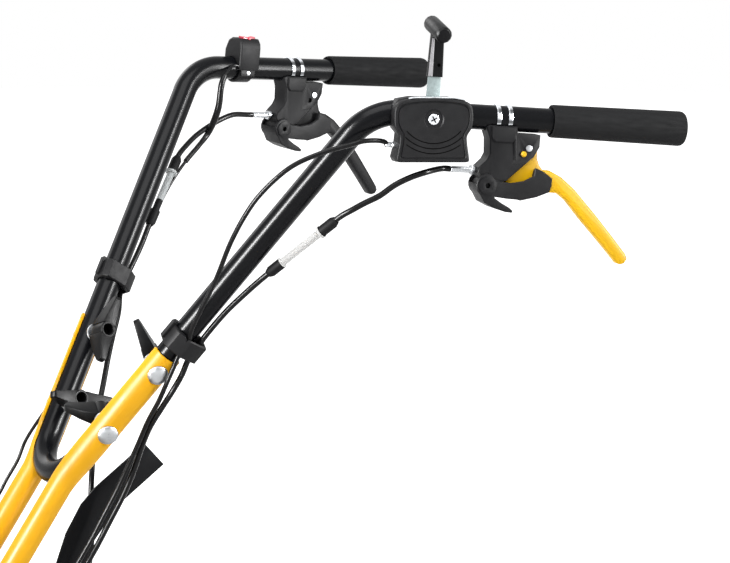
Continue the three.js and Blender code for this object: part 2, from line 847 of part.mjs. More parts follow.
// Cable clips on the legs, outlined with X to the front of the handle and Y to the side
const clipShares = [
  [-1, 0.92], [-0.13, 1.3], [0.5, 0.95], [0.68, 0.5], [0.68, -0.6], [0.5, -0.95], [-0.5, -0.95], [-1, -0.45],
];
const clipRoomShares = [
  [-0.88, 0.78], [-0.2, 1.13], [0, 1.12], [0.2, 0.95], [0, 0], [-0.4, -0.35], [-0.88, -0.35],
];

function legFrame(side, down) {
  return axle(legPoint(side, down), sideways(legRun, side), planeUp);
}

function buildClip(name, side, down, rooms) {
  const set = legFrame(side, down);
  const half = clipLength / 2;
  const tongue = box(clipFront - clipWall, -clipTongue, clipFront + clipTongue, clipTongue);
  const width = -side * clipHalfWidth;
  const pocket = scaled(clipRoomShares, clipBack, width);
  const body = cut(
    join(
      plate(scaled(clipShares, clipBack, width), -half, half, clipBevel),
      plate(tongue, -half - clipTongue, half - clipTongue, clipBevel),
    ),
    plate(pocket, -clipLength, clipLength),
    ...rooms.map((room) => placed(room, set.clone().invert())),
  );
  piece(`cable_clip_${name}`, clearOfHandle(body, set), paint.plastic, set);
}

// Lower tubes, half open round the handlebar legs and round below them
function lowerRing(centre, out, front, radius, bulge, sides) {
  const ring = [];
  const half = sides / 2;
  for (let i = 0; i < sides; i += 1) {
    const angle = Math.PI * (i / half - 0.5);
    const lie = i > half ? bulge : 1;
    ring.push(offset(centre, [out, radius * Math.cos(angle) * lie], [front, radius * Math.sin(angle)]));
  }
  return ring;
}

function buildLowerTube(name, side) {
  const kink = offset(cornerPoint, [legRun, kinkPlace]);
  const start = offset(cornerPoint, [legRun, saddleStart]);
  const bottom = offset(kink, [planeDown, lowerTubeEnd]);
  const path = new BentPath([start, kink, bottom], [kinkBend], [4]);
  const lead = [saddleStart, saddleEnd].map((down) => ({
    place: offset(cornerPoint, [legRun, down]),
    tangent: legRun,
  }));
  const stations = [...lead, ...path.stations.slice(1)];
  const saddle = handleTube / 2 + gap + saddleWall;
  const rings = stations.map(({ place, tangent }, i) => {
    const bulge = Math.min(1, Math.max(0, (i - 1) / saddleFade));
    const radius = saddle + (lowerTube / 2 - saddle) * bulge;
    const out = planeUp.clone().cross(tangent);
    return lowerRing(place, out, planeUp, radius, Math.max(bulge, gap / saddle), 20)
      .map((point) => sideways(point, side));
  });
  const ends = [0, rings.length - 1].map((i) => rings[i].map((point) => {
    const local = point.clone().applyMatrix4(legFrame(side, 0).invert());
    return [local.x, local.y];
  }));
  const seats = boltPlaces.map((down) => placed(
    join(
      drum(boltHead / 2 + gap + weldDepth, saddle - boltSeat, saddle + overrun, 16),
      drum(boreRadius(boltShank / 2, 8), 0, saddle, 8),
    ),
    boltFrame(side, down),
  ));
  const body = cut(skin(rings, ends), handleRoom, ...seats);
  piece(name, body, paint.yellow);
}

// Bolts through the legs, with the head outside and a wing knob inside
function boltFrame(side, down) {
  return axle(legPoint(side, down), sideways(legOut, side), planeUp);
}

const boltHeadShares = [[1, 0], [1, 0.3], [0.85, 0.7], [0.5, 0.94], [0, 1]];

function buildBolt(name, side, down) {
  const seat = handleTube / 2 + gap + saddleWall - boltSeat + gap;
  const radius = boltHead / 2;
  const head = boltHeadShares.map(([r, rise]) => [r * radius, seat + rise * boltHeadRise]);
  const profile = [[0, -boltEnd], [boltShank / 2, -boltEnd], [boltShank / 2, seat], ...head];
  piece(name, turned(profile, 16), paint.zinc, boltFrame(side, down));
}

const wingShares = [
  [0, 0.06], [0.24, 0.07], [0.62, 0.3], [1, 0.62], [1.03, 0.75], [0.97, 0.86], [0.86, 0.88],
  [0.22, 0.76], [0, 0.75],
];

const hubShares = [[0, 1], [0.76, 1], [0.84, 0.95], [0.92, 0.4], [1, 0], [0, 0]];

function buildWingKnob(name, side, down, turn) {
  const half = scaled(wingShares, wingReach, wingReach);
  const outline = [...half, ...half.slice(1, -1).map(([x, y]) => [-x, y]).reverse()];
  const wings = placed(
    plate(outline, -wingWall / 2, wingWall / 2, wingBevel),
    new THREE.Matrix4().makeBasis(along(1, 0, 0), along(0, 0, -1), along(0, 1, 0)),
  );
  const body = cut(
    join(
      drum(washerRadius, -washerWall, 0, 14),
      turned(scaled(hubShares, knobHub / 2, -knobHubHeight), 16),
      placed(wings, shifted(0, 0, -washerWall + weldDepth)),
    ),
    drum(boreRadius(boltShank / 2, 8), -knobHubHeight, overrun, 8),
    drum(knobHole / 2, -knobHubHeight - overrun, knobHoleDepth - knobHubHeight, 12),
  );
  const floor = -handleTube / 2 - gap;
  const place = boltFrame(side, down).multiply(shifted(0, 0, floor));
  place.multiply(new THREE.Matrix4().makeRotationZ(-side * turn));
  piece(name, body, paint.knob, place);
}

// Cords along their real routes
function cordBody(route, diameter, extra = 0) {
  const points = route.map((shares) => along(...shares).multiplyScalar(cordSpan));
  const curve = new THREE.CatmullRomCurve3(points, false, 'centripetal');
  curve.arcLengthDivisions = 4 * cordSteps;
  return sweep(circle(diameter / 2 + extra, cordSides), curve, cordSteps);
}

// The first two points of a cord that leaves a frame against its X
function cordEnd(set, x, y, z) {
  const places = [x, x - cordLead].map((place) => along(place, y, z).applyMatrix4(set));
  return places.map((place) => place.divideScalar(cordSpan).toArray());
}

const throttleRouteShares = [
  [-0.007, 0.2361, 0.981], [0.0141, 0.2372, 0.9829], [0.0291, 0.2363, 0.9799],
  [0.0601, 0.2326, 0.9728], [0.0872, 0.2229, 0.9597], [0.1123, 0.2073, 0.9326],
  [0.1234, 0.1966, 0.9115], [0.1324, 0.1819, 0.8834], [0.1395, 0.1603, 0.8432],
  [0.1487, 0.143, 0.8107], [0.1539, 0.1308, 0.7882], [0.1543, 0.1263, 0.7778],
  [0.1587, 0.1226, 0.7695], [0.1632, 0.119, 0.7614], [0.1671, 0.1161, 0.7497],
  [0.1725, 0.1136, 0.7363], [0.1775, 0.1022, 0.7143], [0.1842, 0.0891, 0.6916],
  [0.19, 0.0761, 0.666], [0.197, 0.066, 0.642], [0.206, 0.057, 0.616], [0.218, 0.05, 0.589],
  [0.23, 0.045, 0.564], [0.242, 0.042, 0.543], [0.268, 0.032, 0.495], [0.31, 0.016, 0.445],
  [0.37, 0.01, 0.418], [0.45, 0.01, 0.408], [0.514, 0.012, 0.406], [0.5294, 0.012, 0.406],
];
const clutchLeftRouteShares = [
  [-0.0458, 0.2471, 0.9496], [-0.0306, 0.2443, 0.945], [-0.0163, 0.2405, 0.9381],
  [-0.0028, 0.2347, 0.9278], [0.0103, 0.2278, 0.9204], [0.0214, 0.222, 0.9134],
  [0.0294, 0.2153, 0.9073], [0.0439, 0.2012, 0.891], [0.0585, 0.1872, 0.8746],
  [0.0731, 0.1732, 0.8583], [0.0876, 0.1591, 0.842], [0.1037, 0.1489, 0.8249],
  [0.1198, 0.1376, 0.8056], [0.1367, 0.1252, 0.7805], [0.1414, 0.1211, 0.7717],
  [0.1461, 0.1175, 0.7636], [0.1507, 0.1143, 0.7553], [0.1564, 0.1125, 0.7413],
  [0.1656, 0.1088, 0.7241], [0.1715, 0.1001, 0.7093], [0.1802, 0.0849, 0.6847],
  [0.184, 0.0721, 0.663], [0.189, 0.062, 0.637], [0.198, 0.055, 0.61], [0.21, 0.048, 0.583],
  [0.222, 0.043, 0.558], [0.234, 0.04, 0.536], [0.258, 0.034, 0.48], [0.28, 0.03, 0.4],
  [0.29, 0.028, 0.32], [0.298, 0.028, 0.258], [0.312, 0.028, 0.224], [0.3292, 0.028, 0.222],
];
const clutchRightRouteShares = [
  [-0.0494, -0.2306, 0.953], [-0.0248, -0.2232, 0.9463], [0.0018, -0.2122, 0.9353],
  [0.0186, -0.2027, 0.9256], [0.0313, -0.194, 0.9167], [0.0443, -0.184, 0.8994],
  [0.0574, -0.174, 0.882], [0.0705, -0.1641, 0.8646], [0.0835, -0.154, 0.8473],
  [0.0956, -0.1445, 0.8301], [0.1125, -0.1324, 0.8092], [0.1209, -0.1272, 0.7992],
  [0.1261, -0.1234, 0.7915], [0.131, -0.1188, 0.7841], [0.1394, -0.103, 0.7668],
  [0.1504, -0.09, 0.7473], [0.1619, -0.076, 0.7261], [0.1733, -0.062, 0.7008],
  [0.185, -0.047, 0.6771], [0.1944, -0.034, 0.6508], [0.2024, -0.023, 0.6188],
  [0.2083, -0.014, 0.5735], [0.2113, -0.0095, 0.5289], [0.229, -0.008, 0.47], [0.245, -0.008, 0.4],
  [0.27, -0.008, 0.32], [0.298, -0.008, 0.25], [0.312, -0.008, 0.212], [0.3292, -0.008, 0.206],
];
const stopWireRouteShares = [
  [-0.027, -0.205, 0.995], [-0.0221, -0.206, 0.9659], [-0.0181, -0.211, 0.9489],
  [-0.0133, -0.217, 0.9351], [0.0016, -0.209, 0.923], [0.0186, -0.2, 0.9107],
  [0.036, -0.19, 0.8959], [0.0495, -0.1835, 0.881], [0.0624, -0.1752, 0.8654],
  [0.0749, -0.1665, 0.8499], [0.087, -0.1573, 0.8335], [0.098, -0.1492, 0.8191],
  [0.1115, -0.1383, 0.8056], [0.1223, -0.1333, 0.7971], [0.1276, -0.1293, 0.7896],
  [0.133, -0.1262, 0.7817], [0.1598, -0.1136, 0.7435], [0.1937, -0.1006, 0.7075],
  [0.2291, -0.0837, 0.6746], [0.2608, -0.0617, 0.6478], [0.271, -0.058, 0.629],
  [0.284, -0.058, 0.609], [0.291, -0.058, 0.597], [0.33, -0.06, 0.54], [0.39, -0.058, 0.47],
  [0.46, -0.046, 0.418], [0.514, -0.038, 0.398], [0.5294, -0.038, 0.397],
];

function sleeveBody() {
  const bore = boreRadius(clutchCable / 2, cordSides);
  const far = bootLength + collarLength + sleeveLength + bootLength;
  return turned([
    [bore, 0], [bootMouth, 0], [bootRadius, 0.2 * bootLength], [bootRadius, bootLength],
    [collarRadius, bootLength], [collarRadius, bootLength + collarLength],
    [sleeveRadius, bootLength + collarLength], [sleeveRadius, far - bootLength],
    [bootRadius, far - bootLength], [bootRadius, far - 0.2 * bootLength], [bootMouth, far], [bore, far],
    [bore, 0],
  ], 12);
}

function buildTensioner(name, routeShares, first) {
  const [start, end] = [routeShares[first], routeShares[first + 4]].map(
    (shares) => along(...shares).multiplyScalar(cordSpan),
  );
  const run = end.clone().sub(start);
  const slack = (run.length() - 2 * bootLength - collarLength - sleeveLength) / 2;
  const set = axle(start.addScaledVector(run.normalize(), slack), run);
  piece(`cable_tensioner_${name}`, sleeveBody(), paint.sleeve, set);
}

function buildCords() {
  const mouth = bracketFrontShares[0][0] * bracketWidth - adjusterLength - adjusterNutWidth - 2 * gap;
  const clutchEnd = (side) => cordEnd(barFrame(side, leverSetStart), mouth, -adjusterDrop, 0);
  const caseEnd = cordEnd(throttleFrame, ...caseCableShares.map((share) => share * caseHalfWidth));
  const switchEnd = cordEnd(
    barFrame(-1, switchStart), -gap, switchWireShares[1] * switchRise, switchWireShares[0] * switchFront,
  );
  const cords = {
    clutch_cable_left: [[...clutchEnd(1), ...clutchLeftRouteShares], clutchCable],
    clutch_cable_right: [[...clutchEnd(-1), ...clutchRightRouteShares], clutchCable],
    throttle_cable: [[...caseEnd, ...throttleRouteShares], throttleCable],
    stop_wire: [[...switchEnd, ...stopWireRouteShares], stopWire],
  };
  Object.entries(cords).forEach(([name, cord]) => piece(name, cordBody(...cord), paint.cable));
  const room = (name) => cordBody(...cords[name], cordRoom);
  buildClip('left', 1, clipPlaces[0], [room('throttle_cable'), room('clutch_cable_left')]);
  buildClip('right', -1, clipPlaces[1], [room('stop_wire'), room('clutch_cable_right')]);
}

// Engine, fan and running gear
const aboutX = (profile, sides, z) => placed(turned(profile, sides), shifted(0, 0, z).multiply(alongX));
const aboutY = (profile, sides, x, z, spin = 0) => placed(
  turned(profile, sides), shifted(x, 0, z).multiply(alongY).multiply(new THREE.Matrix4().makeRotationZ(spin)),
);

function block([x0, x1], [y0, y1], [z0, z1], bevel = 0) {
  return plate(box(x0, y0, x1, y1), z0, z1, bevel);
}

// An outline from shares of its own width and height beside a place
function beside([x, y], shares, width, height = width) {
  return scaled(shares, width, height).map(([u, v]) => [x + u, y + v]);
}

function alongSection(outline, y0, y1) {
  return placed(plate(outline, -y1, -y0), sectionY);
}

const leverBarShares = [
  [-0.606, 1], [-0.451, 0.885], [-0.406, 0.839], [-0.358, 0.758], [-0.327, 0.673], [-0.293, 0.552],
  [-0.237, 0.403], [-0.135, 0.234], [-0.017, 0.107], [0.045, 0.034], [0.034, -0.028], [-0.017, -0.045],
  [-0.065, -0.006], [-0.135, 0.079], [-0.248, 0.22], [-0.341, 0.375], [-0.406, 0.53], [-0.437, 0.659],
  [-0.445, 0.727], [-0.521, 0.825], [-0.665, 0.932],
];
const clevisShares = [[0, 0], [1, 0], [0.864, 0.775], [0.682, 1], [0.364, 1], [0.182, 0.775]];
const clevisPinShares = [0.5, 0.687];
const socketShares = [[0, 0], [1, 0], [0.977, 0.437], [0.605, 1], [0.163, 0.772]];
const forkShares = [
  [0.85, -0.09], [1.15, -0.09], [1.159, 0.136], [0.624, 1], [0, 1], [0, 0.646], [0.457, 0.504],
  [0.808, 0.094],
];
const flapShares = [
  [-0.01, 0.03], [0.162, -0.091], [0.333, -0.444], [0.384, -1], [0.354, -1], [0.303, -0.465],
  [0.131, -0.131], [-0.03, -0.03],
];

function buildDeck() {
  const [rear, front] = deckEnds;
  const seat = deckTop - weldDepth;
  const clevis = beside([clevisPlace, seat], clevisShares, clevisLength, clevisHeight);
  const socket = beside([socketPlace, seat], socketShares, socketLength, socketHeight);
  const [pin] = beside([clevisPlace, seat], [clevisPinShares], clevisLength, clevisHeight);
  const pinLine = shifted(pin[0], 0, pin[1]).multiply(alongY);
  const flange = (middle) => block(
    deckEnds, [middle - deckWall / 2, middle + deckWall / 2], [deckTop - deckFlange, deckTop],
  );
  const sockets = Object.values(sides).map((side) => {
    const kink = sideways(offset(cornerPoint, [legRun, kinkPlace]), side);
    const hole = drum(boreRadius(lowerTube / 2, 20), lowerTubeEnd / 2, lowerTubeEnd + gap, 20);
    return placed(hole, axle(kink, planeDown, planeUp));
  });
  const deck = cut(
    join(
      alongSection(socket, -socketHalf, socketHalf),
      block([rear, front], [-deckHalf, deckHalf], [deckTop - deckWall, deckTop]),
      flange(deckHalf),
      flange(-deckHalf),
      alongSection(clevis, clevisHalf - clevisWall, clevisHalf),
      alongSection(clevis, -clevisHalf, clevisWall - clevisHalf),
      placed(drum(clevisPin, -clevisHalf, clevisHalf, 12), pinLine),
    ),
    block(beltSlot, [-beltSlotHalf, beltSlotHalf], [0, deckTop + overrun]),
    ...sockets,
  );
  piece('chassis_deck', deck, paint.tube);
  const bar = cut(
    alongSection(beside(pin, leverBarShares, leverBarLength), -leverBar / 2, leverBar / 2),
    placed(drum(boreRadius(clevisPin, 12), -clevisHalf, clevisHalf, 12), pinLine),
  );
  piece('deflector_lever', bar, paint.plastic);
}

function buildGearbox() {
  const wheelHeight = wheelRadius * Math.cos(Math.PI / wheelSides);
  const axleLine = shifted(axlePlace, 0, wheelHeight).multiply(alongY);
  const body = cut(
    join(
      block(gearboxEnds, [-gearboxHalf, gearboxHalf], [gearboxBottom, gearboxTop], gearboxBevel),
      placed(drum(bearingBoss, -bearingReach, bearingReach, 20), axleLine),
      placed(
        drum(inputBoss, axlePlace, inputBossEnd, 16), shifted(0, 0, inputHeight).multiply(alongX),
      ),
    ),
    placed(drum(boreRadius(axleRadius, 16), -wheelRadius, wheelRadius, 16), axleLine),
    placed(
      drum(boreRadius(inputRadius, 12), inputEnds[0] - gap, inputBossEnd + gap, 12),
      shifted(0, 0, inputHeight).multiply(alongX),
    ),
  );
  piece('gearbox', body, paint.cast);
  piece('rear_axle', placed(drum(axleRadius, -axleReach, axleReach, 16), axleLine), paint.steel);
  Object.entries(sides).forEach(([name, side]) => {
    buildWheel(`wheel_rim_${name}`, `tyre_${name}`, axlePlace, wheelHeight, side);
  });
}

// Wheel sections across the axle, in shares of the wheel radius and width
const rimShares = [
  [0.079, 0.06], [0.16, 0.06], [0.16, 0.44], [0.4, 0.44], [0.4, 0.12], [0.5, 0.04], [0.455, 0.14],
  [0.455, 0.86], [0.5, 0.96], [0.4, 0.88], [0.4, 0.54], [0.16, 0.54], [0.16, 0.9], [0.079, 0.9],
  [0.079, 0.06],
];
const tyreShares = [
  [0.458, 0.145], [0.56, 0.03], [0.74, 0], [0.93, 0.1], [1, 0.34],
  [1, 0.66], [0.93, 0.9], [0.74, 1], [0.56, 0.97], [0.458, 0.855], [0.458, 0.145],
];

function wheelSection(shares, radius, [inner, outer]) {
  return shares.map(([r, y]) => [r * radius, inner + y * (outer - inner)]);
}

function buildWheel(rimName, tyreName, x, z, side) {
  const widths = [wheelInner, wheelOuter];
  const spin = Math.PI / wheelSides;
  const mirror = new THREE.Matrix4().makeScale(1, side, 1);
  const rim = aboutY(wheelSection(rimShares, wheelRadius, widths), wheelSides, x, z, spin);
  const tyre = aboutY(wheelSection(tyreShares, wheelRadius, widths), wheelSides, x, z, spin);
  piece(rimName, placed(rim, mirror), paint.yellow);
  piece(tyreName, placed(tyre, mirror), paint.tyre);
}

const frontRimShares = [
  [0.067, -0.95], [0.2, -0.95], [0.2, -0.14], [0.5, -0.14], [0.5, -0.7], [0.58, -0.84], [0.58, 0.84],
  [0.5, 0.7], [0.5, 0.14], [0.2, 0.14], [0.2, 0.95], [0.067, 0.95], [0.067, -0.95],
];
const frontTyreShares = [
  [0.584, -0.86], [0.7, -1], [0.88, -0.9], [1, -0.5], [1, 0.5], [0.88, 0.9], [0.7, 1], [0.584, 0.86],
  [0.584, -0.86],
];

function buildFrontWheel() {
  const height = frontWheel * Math.cos(Math.PI / frontSides);
  const spin = Math.PI / frontSides;
  const section = (shares) => shares.map(([r, y]) => [r * frontWheel, y * frontHalf]);
  const axleLine = shifted(frontPlace, 0, height).multiply(alongY);
  const outer = forkInner + forkWall;
  const foot = fanEnds[1] + gap;
  const arm = beside([foot, height], forkShares, frontPlace - foot, forkTop - height);
  const fork = join(
    alongSection(arm, forkInner, outer),
    alongSection(arm, -outer, -forkInner),
    block([foot, foot + forkWall], [-outer, outer], [arm[5][1], forkTop]),
    block([foot, arm[3][0]], [-outer, outer], [forkTop - forkWall, forkTop]),
    placed(drum(frontAxle, -outer - forkWall, outer + forkWall, 12), axleLine),
  );
  piece('front_fork', fork, paint.tube);
  const wheel = (shares) => aboutY(section(shares), frontSides, frontPlace, height, spin);
  piece('front_wheel_rim', wheel(frontRimShares), paint.yellow);
  piece('front_tyre', wheel(frontTyreShares), paint.tyre);
}

// A loop round two circles, for the belt
function loop(top, topRadius, bottom, bottomRadius, steps) {
  const lean = Math.asin((bottomRadius - topRadius) / (top - bottom));
  return [
    ...arc([0, top], topRadius, lean, Math.PI - lean, steps),
    ...arc([0, bottom], bottomRadius, Math.PI - lean, 2 * Math.PI + lean, steps),
  ];
}

function pulleyProfile([x0, x1], radius) {
  const middle = (x0 + x1) / 2;
  const floor = radius - pulleyGroove;
  const groove = beltWidth / 2 + gap;
  return [
    [0, x0], [radius, x0], [radius, x0 + fanWall / 2], [floor, middle - groove], [floor, middle + groove],
    [radius, x1 - fanWall / 2], [radius, x1], [0, x1],
  ];
}

function buildDrive() {
  const shaftLine = shifted(0, 0, shaftHeight).multiply(alongX);
  const inputLine = shifted(0, 0, inputHeight).multiply(alongX);
  const shaft = placed(drum(shaftRadius, ...shaftEnds, 16), shaftLine);
  const drive = aboutX(pulleyProfile(pulleyEnds, pulleyRadii[0]), 20, shaftHeight);
  piece('crankshaft', join(shaft, drive), paint.steel);
  const input = placed(drum(inputRadius, ...inputEnds, 12), inputLine);
  const driven = aboutX(pulleyProfile(pulleyEnds, pulleyRadii[1]), 20, inputHeight);
  piece('input_pulley', join(input, driven), paint.steel);
  const [topInner, bottomInner] = pulleyRadii.map((radius) => radius - pulleyGroove + beltLift);
  const middle = (pulleyEnds[0] + pulleyEnds[1]) / 2;
  const ring = (extra) => loop(shaftHeight, topInner + extra, inputHeight, bottomInner + extra, 10);
  const belt = cut(
    placed(plate(ring(beltWall), middle - beltWidth / 2, middle + beltWidth / 2), sectionX),
    placed(plate(ring(0), middle - beltWidth, middle + beltWidth), sectionX),
  );
  piece('drive_belt', belt, paint.tyre);
}

function buildEngine() {
  const cylinder = (reach) => [
    [cylinderEnds[0] - reach, cylinderEnds[1] + reach], [-cylinderHalf - reach, cylinderHalf + reach],
  ];
  const fins = Array.from({ length: finCount }, (_, i) => {
    const z = engineTop + (i + 1) * finPitch;
    return block(...cylinder(finReach), [z, z + finWall]);
  });
  const engine = cut(
    join(
      block(engineEnds, [-engineHalf, engineHalf], [deckTop + gap, engineTop], engineBevel),
      block(...cylinder(0), [engineTop - engineBevel, headTop], gap),
      ...fins,
    ),
    placed(drum(boreRadius(shaftRadius, 16), shaftEnds[0] - gap, shaftEnds[1], 16),
      shifted(0, 0, shaftHeight).multiply(alongX)),
  );
  piece('engine_block', engine, paint.cast);
  const [back, front] = recoilEnds;
  const depth = front - back;
  piece('recoil_cover', aboutX([
    [0, back], [0.7 * recoilRadius, back], [0.93 * recoilRadius, back + 0.22 * depth],
    [recoilRadius, back + 0.6 * depth], [recoilRadius, front], [0, front],
  ], 24, shaftHeight), paint.yellow);
  const middle = (tankEnds[0] + tankEnds[1]) / 2;
  const side = (tankAcross[0] + tankAcross[1]) / 2;
  const seat = engineTop + gap;
  const tankTop = engineTop + tankHeight;
  piece('fuel_tank', join(
    block(tankEnds, tankAcross, [seat, tankTop], tankBevel),
    drum(capRadius, tankTop - weldDepth, tankTop + capRise, 16, [middle, side]),
  ), paint.engine);
  const pipe = drum(mufflerPipe, mufflerAcross[1] - weldDepth, mufflerAcross[1] + capRise, 12);
  const pipePlace = shifted((mufflerEnds[0] + mufflerEnds[1]) / 2, 0, seat + mufflerBevel + mufflerPipe);
  piece('muffler', join(
    block(mufflerEnds, mufflerAcross, [seat, engineTop + mufflerHeight], mufflerBevel),
    placed(pipe, pipePlace.multiply(alongY)),
  ), paint.steel);
}

function volute(extra, reach) {
  const outline = [];
  for (let i = 0; i <= voluteSteps; i += 1) {
    const share = i / voluteSteps;
    const angle = tongueAngle + (3 * Math.PI / 2 - tongueAngle) * share;
    const radius = fanStart + (fanEnd - fanStart) * share + extra;
    outline.push([radius * Math.cos(angle), radius * Math.sin(angle) + shaftHeight]);
  }
  return [
    ...outline, [reach, shaftHeight - fanEnd - extra], [reach, shaftHeight - outletLip + extra],
  ];
}

const vaneShares = [[0.14, -0.014], [0.55, 0.03], [1, -0.01], [1, 0.012], [0.55, 0.052], [0.14, 0.014]];

function buildFan() {
  const [back, front] = fanEnds;
  const axisLine = shifted(0, 0, shaftHeight).multiply(alongX);
  const hinge = [outletReach + hingeOut, shaftHeight - outletLip + fanWall + hingeRise];
  const [out, up] = hinge;
  const lugOutline = box(out - lugBack, up - lugDrop, out + flapKnuckle, up + flapKnuckle);
  const lug = (x0, x1) => placed(plate(lugOutline, x0, x1), sectionX);
  const pinHole = placed(drum(boreRadius(flapPin, 8), back - overrun, front + overrun, 8, hinge), sectionX);
  const inlets = Array.from({ length: inletHoles }, (_, i) => {
    const middle = 2 * Math.PI * i / inletHoles;
    const width = inletRadius - inletHub;
    const hole = ringSector(inletHub + width / 2, width, middle, Math.PI / inletHoles - inletRib, 3);
    const centred = placed(plate(hole, front - 2 * fanWall, front + overrun), shifted(0, shaftHeight));
    return placed(centred, sectionX);
  });
  const housing = cut(
    join(
      placed(plate(volute(fanWall, outletReach), back, front), sectionX),
      lug(back, back + fanWall),
      lug(front - fanWall, front),
    ),
    placed(plate(volute(0, outletReach + overrun), back + fanWall, front - fanWall), sectionX),
    ...inlets,
    placed(drum(2 * shaftRadius, back - overrun, back + 2 * fanWall, 16), axisLine),
    pinHole,
  );
  piece('fan_housing', housing, paint.yellow);
  const [rear, nose] = impellerEnds;
  const vanes = Array.from({ length: bladeCount }, (_, i) => placed(
    plate(scaled(vaneShares, impellerRadius, impellerRadius), rear + fanWall - weldDepth, nose),
    new THREE.Matrix4().makeRotationZ(2 * Math.PI * i / bladeCount),
  ));
  const impeller = cut(
    join(
      drum(impellerRadius, rear, rear + fanWall, 32),
      drum(impellerHub, rear, nose, 16),
      ...vanes,
    ),
    drum(boreRadius(shaftRadius, 16), rear - overrun, nose + overrun, 16),
  );
  piece('impeller', placed(impeller, sectionX), paint.steel, shifted(0, 0, shaftHeight));
  const [near, far] = [back + flapInset, front - flapInset];
  const flap = join(
    placed(plate(beside(hinge, flapShares, flapDrop), near, far), sectionX),
    placed(drum(flapKnuckle, near, far, 12, hinge), sectionX),
    placed(drum(flapPin, back, front, 8, hinge), sectionX),
  );
  piece('outlet_flap', flap, paint.tube);
}

buildHandlebar();
buildGrip('grip_left', 1);
buildGrip('grip_right', -1);
buildLeverSet('left', 1, leverRests[0], paint.lever);
buildLeverSet('right', -1, leverRests[1], paint.plastic);
buildThrottle();
buildStopSwitch();
buildLowerTube('handle_tube_left', 1);
buildLowerTube('handle_tube_right', -1);
Object.entries(sides).forEach(([name, side], i) => {
  buildBolt(`carriage_bolt_upper_${name}`, side, boltPlaces[0]);
  buildBolt(`carriage_bolt_lower_${name}`, side, boltPlaces[1]);
  buildWingKnob(`wing_knob_upper_${name}`, side, boltPlaces[0], upperTurns[i]);
  buildWingKnob(`wing_knob_lower_${name}`, side, boltPlaces[1], lowerTurns[i]);
});
buildTensioner('left', clutchLeftRouteShares, 6);
buildTensioner('right', clutchRightRouteShares, 4);
buildCords();
buildDeck();
buildGearbox();
buildFrontWheel();
buildDrive();
buildEngine();
buildFan();

const bounds = new THREE.Box3().setFromObject(machine);
machine.position.x = -(bounds.min.x + bounds.max.x) / 2;

export default machine;
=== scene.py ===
"""Looks for the walk-behind leaf blower: materials, small fittings, floor, light and camera.

Lengths are in metres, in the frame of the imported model: X forward, Y to the operator's left, Z up.
"""
import math

import bmesh
import bpy
from mathutils import Matrix, Vector


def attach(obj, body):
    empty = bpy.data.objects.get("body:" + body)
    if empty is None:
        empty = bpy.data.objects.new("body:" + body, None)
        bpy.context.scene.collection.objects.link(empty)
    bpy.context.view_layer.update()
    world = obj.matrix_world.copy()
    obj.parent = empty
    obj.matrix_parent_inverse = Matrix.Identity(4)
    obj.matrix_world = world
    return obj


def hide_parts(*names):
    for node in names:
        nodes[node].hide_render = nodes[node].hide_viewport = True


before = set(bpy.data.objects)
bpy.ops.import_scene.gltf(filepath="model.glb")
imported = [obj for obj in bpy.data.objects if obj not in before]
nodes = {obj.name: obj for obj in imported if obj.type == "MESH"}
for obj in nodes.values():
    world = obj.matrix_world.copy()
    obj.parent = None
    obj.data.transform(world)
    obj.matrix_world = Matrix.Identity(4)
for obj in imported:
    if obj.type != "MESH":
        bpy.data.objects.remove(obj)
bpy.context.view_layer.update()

scene = bpy.context.scene

SIDES = (("left", 1), ("right", -1))

# The handlebar's lines, as the CAD source draws them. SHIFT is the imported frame's place along X.
SHIFT = -0.4036971
HALF_WIDTH = 0.2214
CORNER_HEIGHT = 1.010
TUBE = 0.025
# Places along the bar, from its bend outwards
GRIP_START, GRIP_LENGTH = 0.1836, 0.1405
BAR_LENGTH = 0.3195
LEVER_SET = 0.1046
THROTTLE_SET, THROTTLE_DROP, THROTTLE_TURN = 0.057, 0.0037, math.radians(3)
SWITCH_SET = 0.049
# Where a cable leaves its lever set: short of the set's place on the bar, and below the bar
ADJUSTER_MOUTH, ADJUSTER_DROP = 0.01996, 0.0524
# Places down the leg, and the seat of a knob from the leg's middle
BOLT_PLACES = {"upper": 0.342, "lower": 0.424}
KNOB_FLOOR = 0.0128
# Angles of the bar below level and away from straight back, and of the legs below level and inwards
DROP, SPLAY = math.radians(5), math.radians(11.5)
SLOPE, TAPER = math.radians(56.1), math.radians(21.9)
LEVER_ROLL = math.radians(1.95)

LEFT = Vector((0, 1, 0))
RUN = Vector((-math.cos(DROP) * math.cos(SPLAY), math.cos(DROP) * math.sin(SPLAY), -math.sin(DROP)))
DOWN = Vector((math.cos(SLOPE), 0, -math.sin(SLOPE)))
UP = Vector((math.sin(SLOPE), 0, math.cos(SLOPE)))
LEG = DOWN * math.cos(TAPER) - LEFT * math.sin(TAPER)
LEG_OUT = LEFT * math.cos(TAPER) + DOWN * math.sin(TAPER)
CORNER = Vector((SHIFT, HALF_WIDTH, CORNER_HEIGHT))


def flip(vector, side):
    """The vector, mirrored to the right for side -1."""
    return Vector((vector.x, vector.y * side, vector.z))


def basis(place, x, y, z):
    """A frame from its origin and its three axes."""
    rows = [(x[i], y[i], z[i], place[i]) for i in range(3)]
    return Matrix((*rows, (0, 0, 0, 1)))


def axle(place, axis, hint=LEFT):
    """A frame whose Z runs along the axis."""
    z = axis.normalized()
    y = z.cross(hint).normalized()
    return basis(place, y.cross(z), y, z)


def bar_frame(side, start):
    """X runs along the bar to the grip, Y up and Z to the left."""
    run = flip(RUN, side)
    out = (LEFT - run * run.dot(LEFT)).normalized()
    up = Matrix.Rotation(-side * LEVER_ROLL, 3, run) @ out.cross(run)
    z = run.cross(up).normalized()
    return basis(flip(CORNER + RUN * start, side), run, z.cross(run), z)


def moved(x, y, z):
    return Matrix.Translation((x, y, z))


